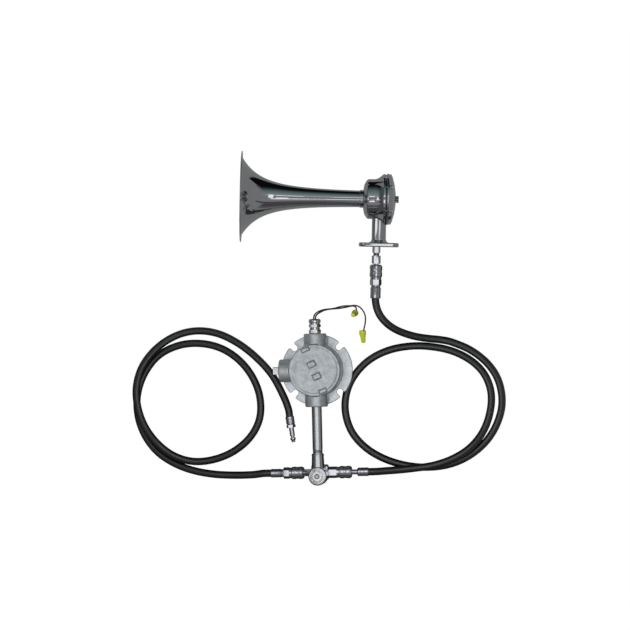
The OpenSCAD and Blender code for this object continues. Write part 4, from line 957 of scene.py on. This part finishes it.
class HORN_OT_fittings(bpy.types.Operator):
    """Builds the cable gland, the square plug and the stem of rigid conduit"""

    bl_idname = "air_horn.fittings"
    bl_label = "Box fittings"

    def execute(self, context):
        body_l = 13
        body = hexagon("Gland_body", 13, 7.4, 0.6, 0.5)
        outline = [
            (0, -6), (10.6, -6), (10.6, 0), (12.2, 0, 0.3), (12.2, 1.2), (10.9, 1.6), (10.9, body_l), (0, body_l),
        ]
        fitted(joined(body, turned("Gland neck", outline, 72)), hub(HUB_REACH), "bright_steel")
        nut = hexagon("Gland_nut", 12.9, 6, 0.2, 0.6)
        outline = [
            (0, 5), (11.3, 5), (11.3, 9.6, 0.8), (12.9, 10.6, 0.8), (12.9, 14.6, 1.8), (10.6, 18, 1), (5, 18, 0.8),
            (5, 15), (0, 15),
        ]
        fitted(joined(nut, turned("Gland nose", outline, 72)), hub(HUB_REACH + body_l), "bright_steel")
        head = block("Hub_plug", (16.2, 16.2, 13), (0, 0, 7.1), [(2, True, 1.2, 3), (2, False, 1.1, 3)])
        outline = [(0, -8), (10.65, -8), (10.65, 0.6), (11.2, 0.6, 0.3), (11.2, 2, 0.4), (0, 2)]
        fitted(joined(head, turned("Plug thread", outline, 72)), hub(HUB_REACH, 1), "bright_steel")
        start, end, r = 57 - HUB_REACH, 113.5, 10.65
        thread = [(r - 0.8 * (i % 2), 97.6 - i * 0.9) for i in range(9)]
        outline = [(8.25, start), (r, start), *reversed(thread), (r, 99.5), (r, end), (8.25, end)]
        fitted(turned("Conduit", outline, 96, closed=True), hub(HUB_REACH, 2), "chrome")
        return {"FINISHED"}


class HORN_OT_valve(bpy.types.Operator):
    """Builds the solenoid's housing with its conduit hub, and the nut on top"""

    bl_idname = "air_horn.valve"
    bl_label = "Solenoid valve"

    def execute(self, context):
        r, top = 19.6, 58
        outline = [
            (17.8, 27), (r, 27, 0.8), (r, top, 3), (15.6, top, 0.2), (15, top - 0.5, 0.2), (12.6, top - 0.5, 0.2),
            (12, top, 0.2), (7, top), (7, 56.2), (17.8, 56.2),
        ]
        housing = turned("Solenoid_housing", outline, 96, closed=True, arc=8)
        end = 47
        outline = [
            (10.7, 17), (13.6, 17), (13.6, 22, 3), (12.6, end - 4, 0.4), (13.1, end - 3.6, 0.3),
            (13.1, end - 0.8, 0.6), (12.4, end), (10.7, end),
        ]
        neck = shifted(turned("Conduit hub", outline, 72, closed=True), moved(0, 0, HUB_Z) @ spun("X", -90))
        fitted(joined(housing, neck), VALVE, "chrome")
        washer = turned("Retaining_nut", [(5.4, 0), (11.5, 0), (11.5, 1, 0.6), (5.4, 1)], 72, closed=True)
        nut = joined(washer, hexagon("Nut", 10.5, 5, 1, 1.1))
        combine(nut, rod("Bore", 5.4, -1, 8, 48))
        fitted(nut, VALVE @ moved(0, 0, top), "bright_steel")
        return {"FINISHED"}


class HORN_OT_wire_nuts(bpy.types.Operator):
    """Builds the two wire nuts with their flutes and wings"""

    bl_idname = "air_horn.wire_nuts"
    bl_label = "Wire nuts"

    def execute(self, context):
        length = 26.5
        outline = [
            (0, 4.9), (5.6, 4.9), (5.6, 0), (6.95, 0, 0.5), (6.95, 5.2, 0.8), (6.6, 6.2), (6.2, 9), (5.7, 13),
            (5.1, 19), (4.6, 24), (4.3, length, 1.8), (0, length),
        ]
        nut = turned("Wire_nut_A", outline, 72, arc=5)

        def in_flute(vert):
            return row_of(vert, 5) % 6 in (0, 1) and vert.co.z > 5.6 and vert.co.xy.length > 4

        pressed(nut, in_flute, 0.9)
        wing = block("Wing", (3, 1.8, 9), (5.7, 0, 5.5), [(0, True, 0.5, 3)])
        joined(nut, ringed(wing, 2, 0))
        places = (
            SOURCE @ moved(86.6, 4.65, 3.65) @ spun("Z", 250) @ spun("Y", 13) @ moved(0, 0, -1.2),
            SOURCE @ moved(102.6, -33, 7.7) @ spun("Z", 274) @ spun("Y", 97.4) @ spun("Z", 90),
        )
        other = copied(nut, Matrix())
        other.name = "Wire_nut_B"
        for piece, place in zip((nut, other), places):
            fitted(piece, place, "nut_plastic")
        return {"FINISHED"}


class HORN_OT_cords(bpy.types.Operator):
    """Lays the hoses and the wires"""

    bl_idname = "air_horn.cords"
    bl_label = "Hoses and wires"

    def execute(self, context):
        sizes = Millimetres(context.scene.air_horn)
        straight = 2 * sizes.hose
        start = port(SUPPLY_FACE - COUPLER_L - FERRULE_L)
        points = [at(start, -HOSE_GRIP), at(start, straight), *laid(SUPPLY_ROUTE)]
        points += [at(FREE_END, -straight), at(FREE_END, HOSE_GRIP)]
        cord("Supply_hose", points, sizes.hose, "hose_rubber")
        start, end = port(OUTLET_FACE + OUTLET_SHANK + FERRULE_L), inlet(HORN_FACE + COUPLER_L + FERRULE_L)
        points = [at(start, HOSE_GRIP), at(start, -straight), *laid(HORN_ROUTE), at(end, 3), at(end, -HOSE_GRIP)]
        cord("Horn_hose", points, sizes.hose, "hose_rubber")
        start = hub(HUB_REACH + GLAND_L)
        for letter, x, route in (("A", WIRE_GAP / 2, WIRE_A_ROUTE), ("B", -WIRE_GAP / 2, WIRE_B_ROUTE)):
            points = [at(start, -0.5, x), at(start, 2.5, x), *laid(route)]
            cord("Wire_" + letter, points, sizes.wire, "wire_jacket")
        return {"FINISHED"}


# The light: the floor, the world's level as a light, and the lamps as place, size and watts
FLOOR_Z, FLOOR_GLOW = -0.0005, 1.04
WORLD_LIGHT = 0.22
LAMPS = (("Key", (-0.5, 0.3, 3.9), 1.1, 105), ("Fill", (0.4, -2.2, 3.0), 1.6, 18))
# What polished metal reflects: a dome, the ground, and lamps as their edges in X and Y and their level
DOME_R = 5.0
BLACK = (0.005, 0.005, 0.006)
# The ground as metal sees it: grey as painted shade of the floor, and darker near the set as painted shadow
GROUND = (0.25, 0.25, 0.25)
GROUND_SHADOW = (0.035, 0.035, 0.037)
LOW_GREY = (0.22, 0.22, 0.225)
DOME_LEFT = (0.1, 0.1, 0.105)
DOME_RIGHT = (0.26, 0.26, 0.265)
GROUND_Z, CARD_Z = 0.00005, 0.65
CARDS = (
    (0.2, 0.315, 0.12, 0.2, 1.25), (0.14, 0.42, 0.027, 0.12, 1.35), (-0.9, -0.075, 0.18, 0.225, 1.3),
    (0.155, 0.315, 0.352, 0.392, 1.5), (0.355, 0.475, 0.16, 0.43, 1.4), (-0.5, -0.25, 0.2, 0.35, 1.5),
    (-0.1, 0.25, -0.09, 0.04, 1.3), *((x / 100, (x + 6) / 100, -0.412, -0.09, 1.35) for x in range(-33, 43, 8)),
)
# The flag that keeps the lamps over the box out of the horn: it stands on edge and is darker low down
FLAG_PLACE, FLAG_SIZE, FLAG_TURN = (0, 0.045, 0.46), (1.2, 0.4), (math.pi / 2, 0, 0)
FLAG_FADE = (-0.152, -0.104)
FLAG_LOW, FLAG_HIGH = (0.08, 0.08, 0.08), (0.28, 0.275, 0.29)
# Colours round the dome: degrees from straight up towards +Y
BANDS = (
    (-180, LOW_GREY), (-96, (0.2, 0.2, 0.2)), (-84, (0.13, 0.13, 0.135)), (-72, (0.075, 0.075, 0.08)),
    (-54, (0.08, 0.08, 0.085)), (-46, (0.26, 0.255, 0.27)), (-30, (0.27, 0.265, 0.28)), (-19, (0.21, 0.205, 0.22)),
    (-14, (0.3, 0.3, 0.31)), (-9, (0.24, 0.24, 0.25)), (9, (0.25, 0.26, 0.265)), (14, (0.46, 0.48, 0.49)),
    (19, (0.36, 0.4, 0.41)), (36, (0.205, 0.265, 0.262)), (50, (0.13, 0.2, 0.19)), (60, (0.077, 0.112, 0.11)),
    (71, (0.022, 0.03, 0.03)), (80, BLACK), (180, BLACK),
)


def plane(name, place, size, turn=(0, 0, 0)):
    """A flat piece of the stage, in metres."""
    only()
    bpy.ops.mesh.primitive_plane_add(size=1, location=place, rotation=turn)
    piece = bpy.context.object
    piece.name = name
    piece.scale = (*size, 1)
    bpy.ops.object.transform_apply(location=False, rotation=False, scale=True)
    return piece


class HORN_OT_stage(bpy.types.Operator):
    """Makes the floor, the world and the studio light"""

    bl_idname = "air_horn.stage"
    bl_label = "Stage"

    def execute(self, context):
        self.make_world(context)
        self.make_floor()
        self.make_lights()
        self.make_dome()
        self.make_ground()
        self.make_cards()
        context.scene.view_settings.view_transform = "Standard"
        return {"FINISHED"}

    def make_world(self, context):
        """White in the picture and in reflections, and faint as a light."""
        world = bpy.data.worlds.new("Studio")
        context.scene.world = world
        tree = Tree(world)
        backdrop = tree.nodes["Background"]
        tree.plug(backdrop.inputs["Color"], (1, 1, 1))
        tree.plug(backdrop.inputs["Strength"], WORLD_LIGHT + tree.in_view() * (1 - WORLD_LIGHT))

    def make_floor(self):
        """White in the picture but for the set's shadow, and grey as a light."""
        floor = plane("Floor", (0, 0, FLOOR_Z), (40, 40))
        finish = Finish("Pale floor", base_color=(0.5, 0.5, 0.5), roughness=0.9)
        glow = finish.node("ShaderNodeEmission", feed={"Color": (1, 1, 1), "Strength": FLOOR_GLOW})
        feed = {0: finish.in_view() * 0.95, 1: Value(finish, finish.shader.outputs[0]), 2: glow}
        finish.surface(finish.node("ShaderNodeMixShader", feed=feed))
        floor.data.materials.append(finish.material)

    def make_lights(self):
        for name, place, size, power in LAMPS:
            data = bpy.data.lights.new(name, "AREA")
            data.shape = "SQUARE"
            data.size = size
            data.energy = power
            lamp = added(name, data)
            lamp.location = place
            lamp.rotation_mode = "QUATERNION"
            lamp.rotation_quaternion = Vector(place).to_track_quat("Z", "Y")
            lamp.visible_camera = lamp.visible_glossy = False

    def make_dome(self):
        """Bands along X, with a plain end left and right."""
        size = {"segments": 64, "ring_count": 32, "radius": DOME_R}
        dome = primitive("Studio dome", bpy.ops.mesh.primitive_uv_sphere_add, **size)
        finish = Finish("Studio dome")
        x, y, z = finish.axes()
        stops = [(0.5 + degrees / 360, colour) for degrees, colour in BANDS]
        angle = y.math("ARCTAN2", z) / math.tau + 0.5
        bands = finish.node("ShaderNodeValToRGB", feed={0: angle}, stops=stops)
        left, right = ((x * side).step(DOME_R * 0.7, DOME_R * 0.85) for side in (-1, 1))
        self.show(dome, finish, finish.mix(right, finish.mix(left, bands, DOME_LEFT), DOME_RIGHT))

    def make_ground(self):
        """Grey as painted shade of the floor; darker as painted shadow of the set in front of the horn, up to its right
        end; black behind its pipe, up to a slanting edge.
        """
        finish = Finish("Ground in reflections")
        x, y, _ = finish.axes()
        past_edge = (x - y.math("MAXIMUM", 0.42) * 1.3).step(-0.495, -0.465)
        behind = x.step(-0.13, -0.09) * y.step(0.43, 0.46) * (1 - past_edge)
        front = (-y).step(0.06, 0.1)
        corner = (-y).step(-0.125, -0.1) * x.step(0.05, 0.09)
        # Painted shadow of the set on the ground in reflections: in front of the horn and at the box's corner, up to
        # the horn's right end
        near = front.math("MAXIMUM", corner) * (1 - x.step(0.3, 0.36))
        ground = plane("Ground in reflections", (0, 0, GROUND_Z), (14, 14))
        self.show(ground, finish, finish.mix(behind, finish.mix(near, GROUND, GROUND_SHADOW), BLACK))

    def make_cards(self):
        """The reflected lamps, and the flag."""
        for x0, x1, y0, y1, level in CARDS:
            card = plane("Reflected lamp", ((x0 + x1) / 2, (y0 + y1) / 2, CARD_Z), (x1 - x0, y1 - y0))
            self.show(card, Finish("Reflected lamp"), (level, level, level * 1.02))
        finish = Finish("Flag")
        height = finish.axes()[1].step(*FLAG_FADE)
        flag = plane("Flag", FLAG_PLACE, FLAG_SIZE, FLAG_TURN)
        self.show(flag, finish, finish.mix(height, FLAG_LOW, FLAG_HIGH))

    def show(self, piece, finish, colour):
        """Lets a piece glow in a colour, for glossy rays alone."""
        finish.surface(finish.node("ShaderNodeEmission", feed={"Color": colour, "Strength": 1.0}))
        finish.material.cycles.emission_sampling = "NONE"
        piece.data.materials.append(finish.material)
        piece.visible_camera = piece.visible_diffuse = piece.visible_shadow = False
        piece.visible_transmission = piece.visible_volume_scatter = False


class HORN_PT_panel(bpy.types.Panel):
    """Lists the sizes and the steps in the sidebar"""

    bl_label = "Air horn set"
    bl_idname = "HORN_PT_panel"
    bl_space_type = "VIEW_3D"
    bl_region_type = "UI"
    bl_category = "Air Horn"

    def draw(self, context):
        for step in STEPS:
            self.layout.operator(step.bl_idname)
        for name in HornSettings.__annotations__:
            self.layout.prop(context.scene.air_horn, name)


STEPS = (
    HORN_OT_camera, HORN_OT_finishes, HORN_OT_trumpet, HORN_OT_chamber, HORN_OT_cover, HORN_OT_couplers, HORN_OT_box,
    HORN_OT_fittings, HORN_OT_valve, HORN_OT_wire_nuts, HORN_OT_cords, HORN_OT_stage,
)
CLASSES = (HornSettings, *STEPS, HORN_PT_panel)


def register():
    for item in CLASSES:
        bpy.utils.register_class(item)
    bpy.types.Scene.air_horn = bpy.props.PointerProperty(type=HornSettings)


def unregister():
    del bpy.types.Scene.air_horn
    for item in reversed(CLASSES):
        bpy.utils.unregister_class(item)


def main():
    register()
    for step in STEPS:
        group, name = step.bl_idname.split(".")
        getattr(getattr(bpy.ops, group), name)()


if __name__ == "__main__":
    main()
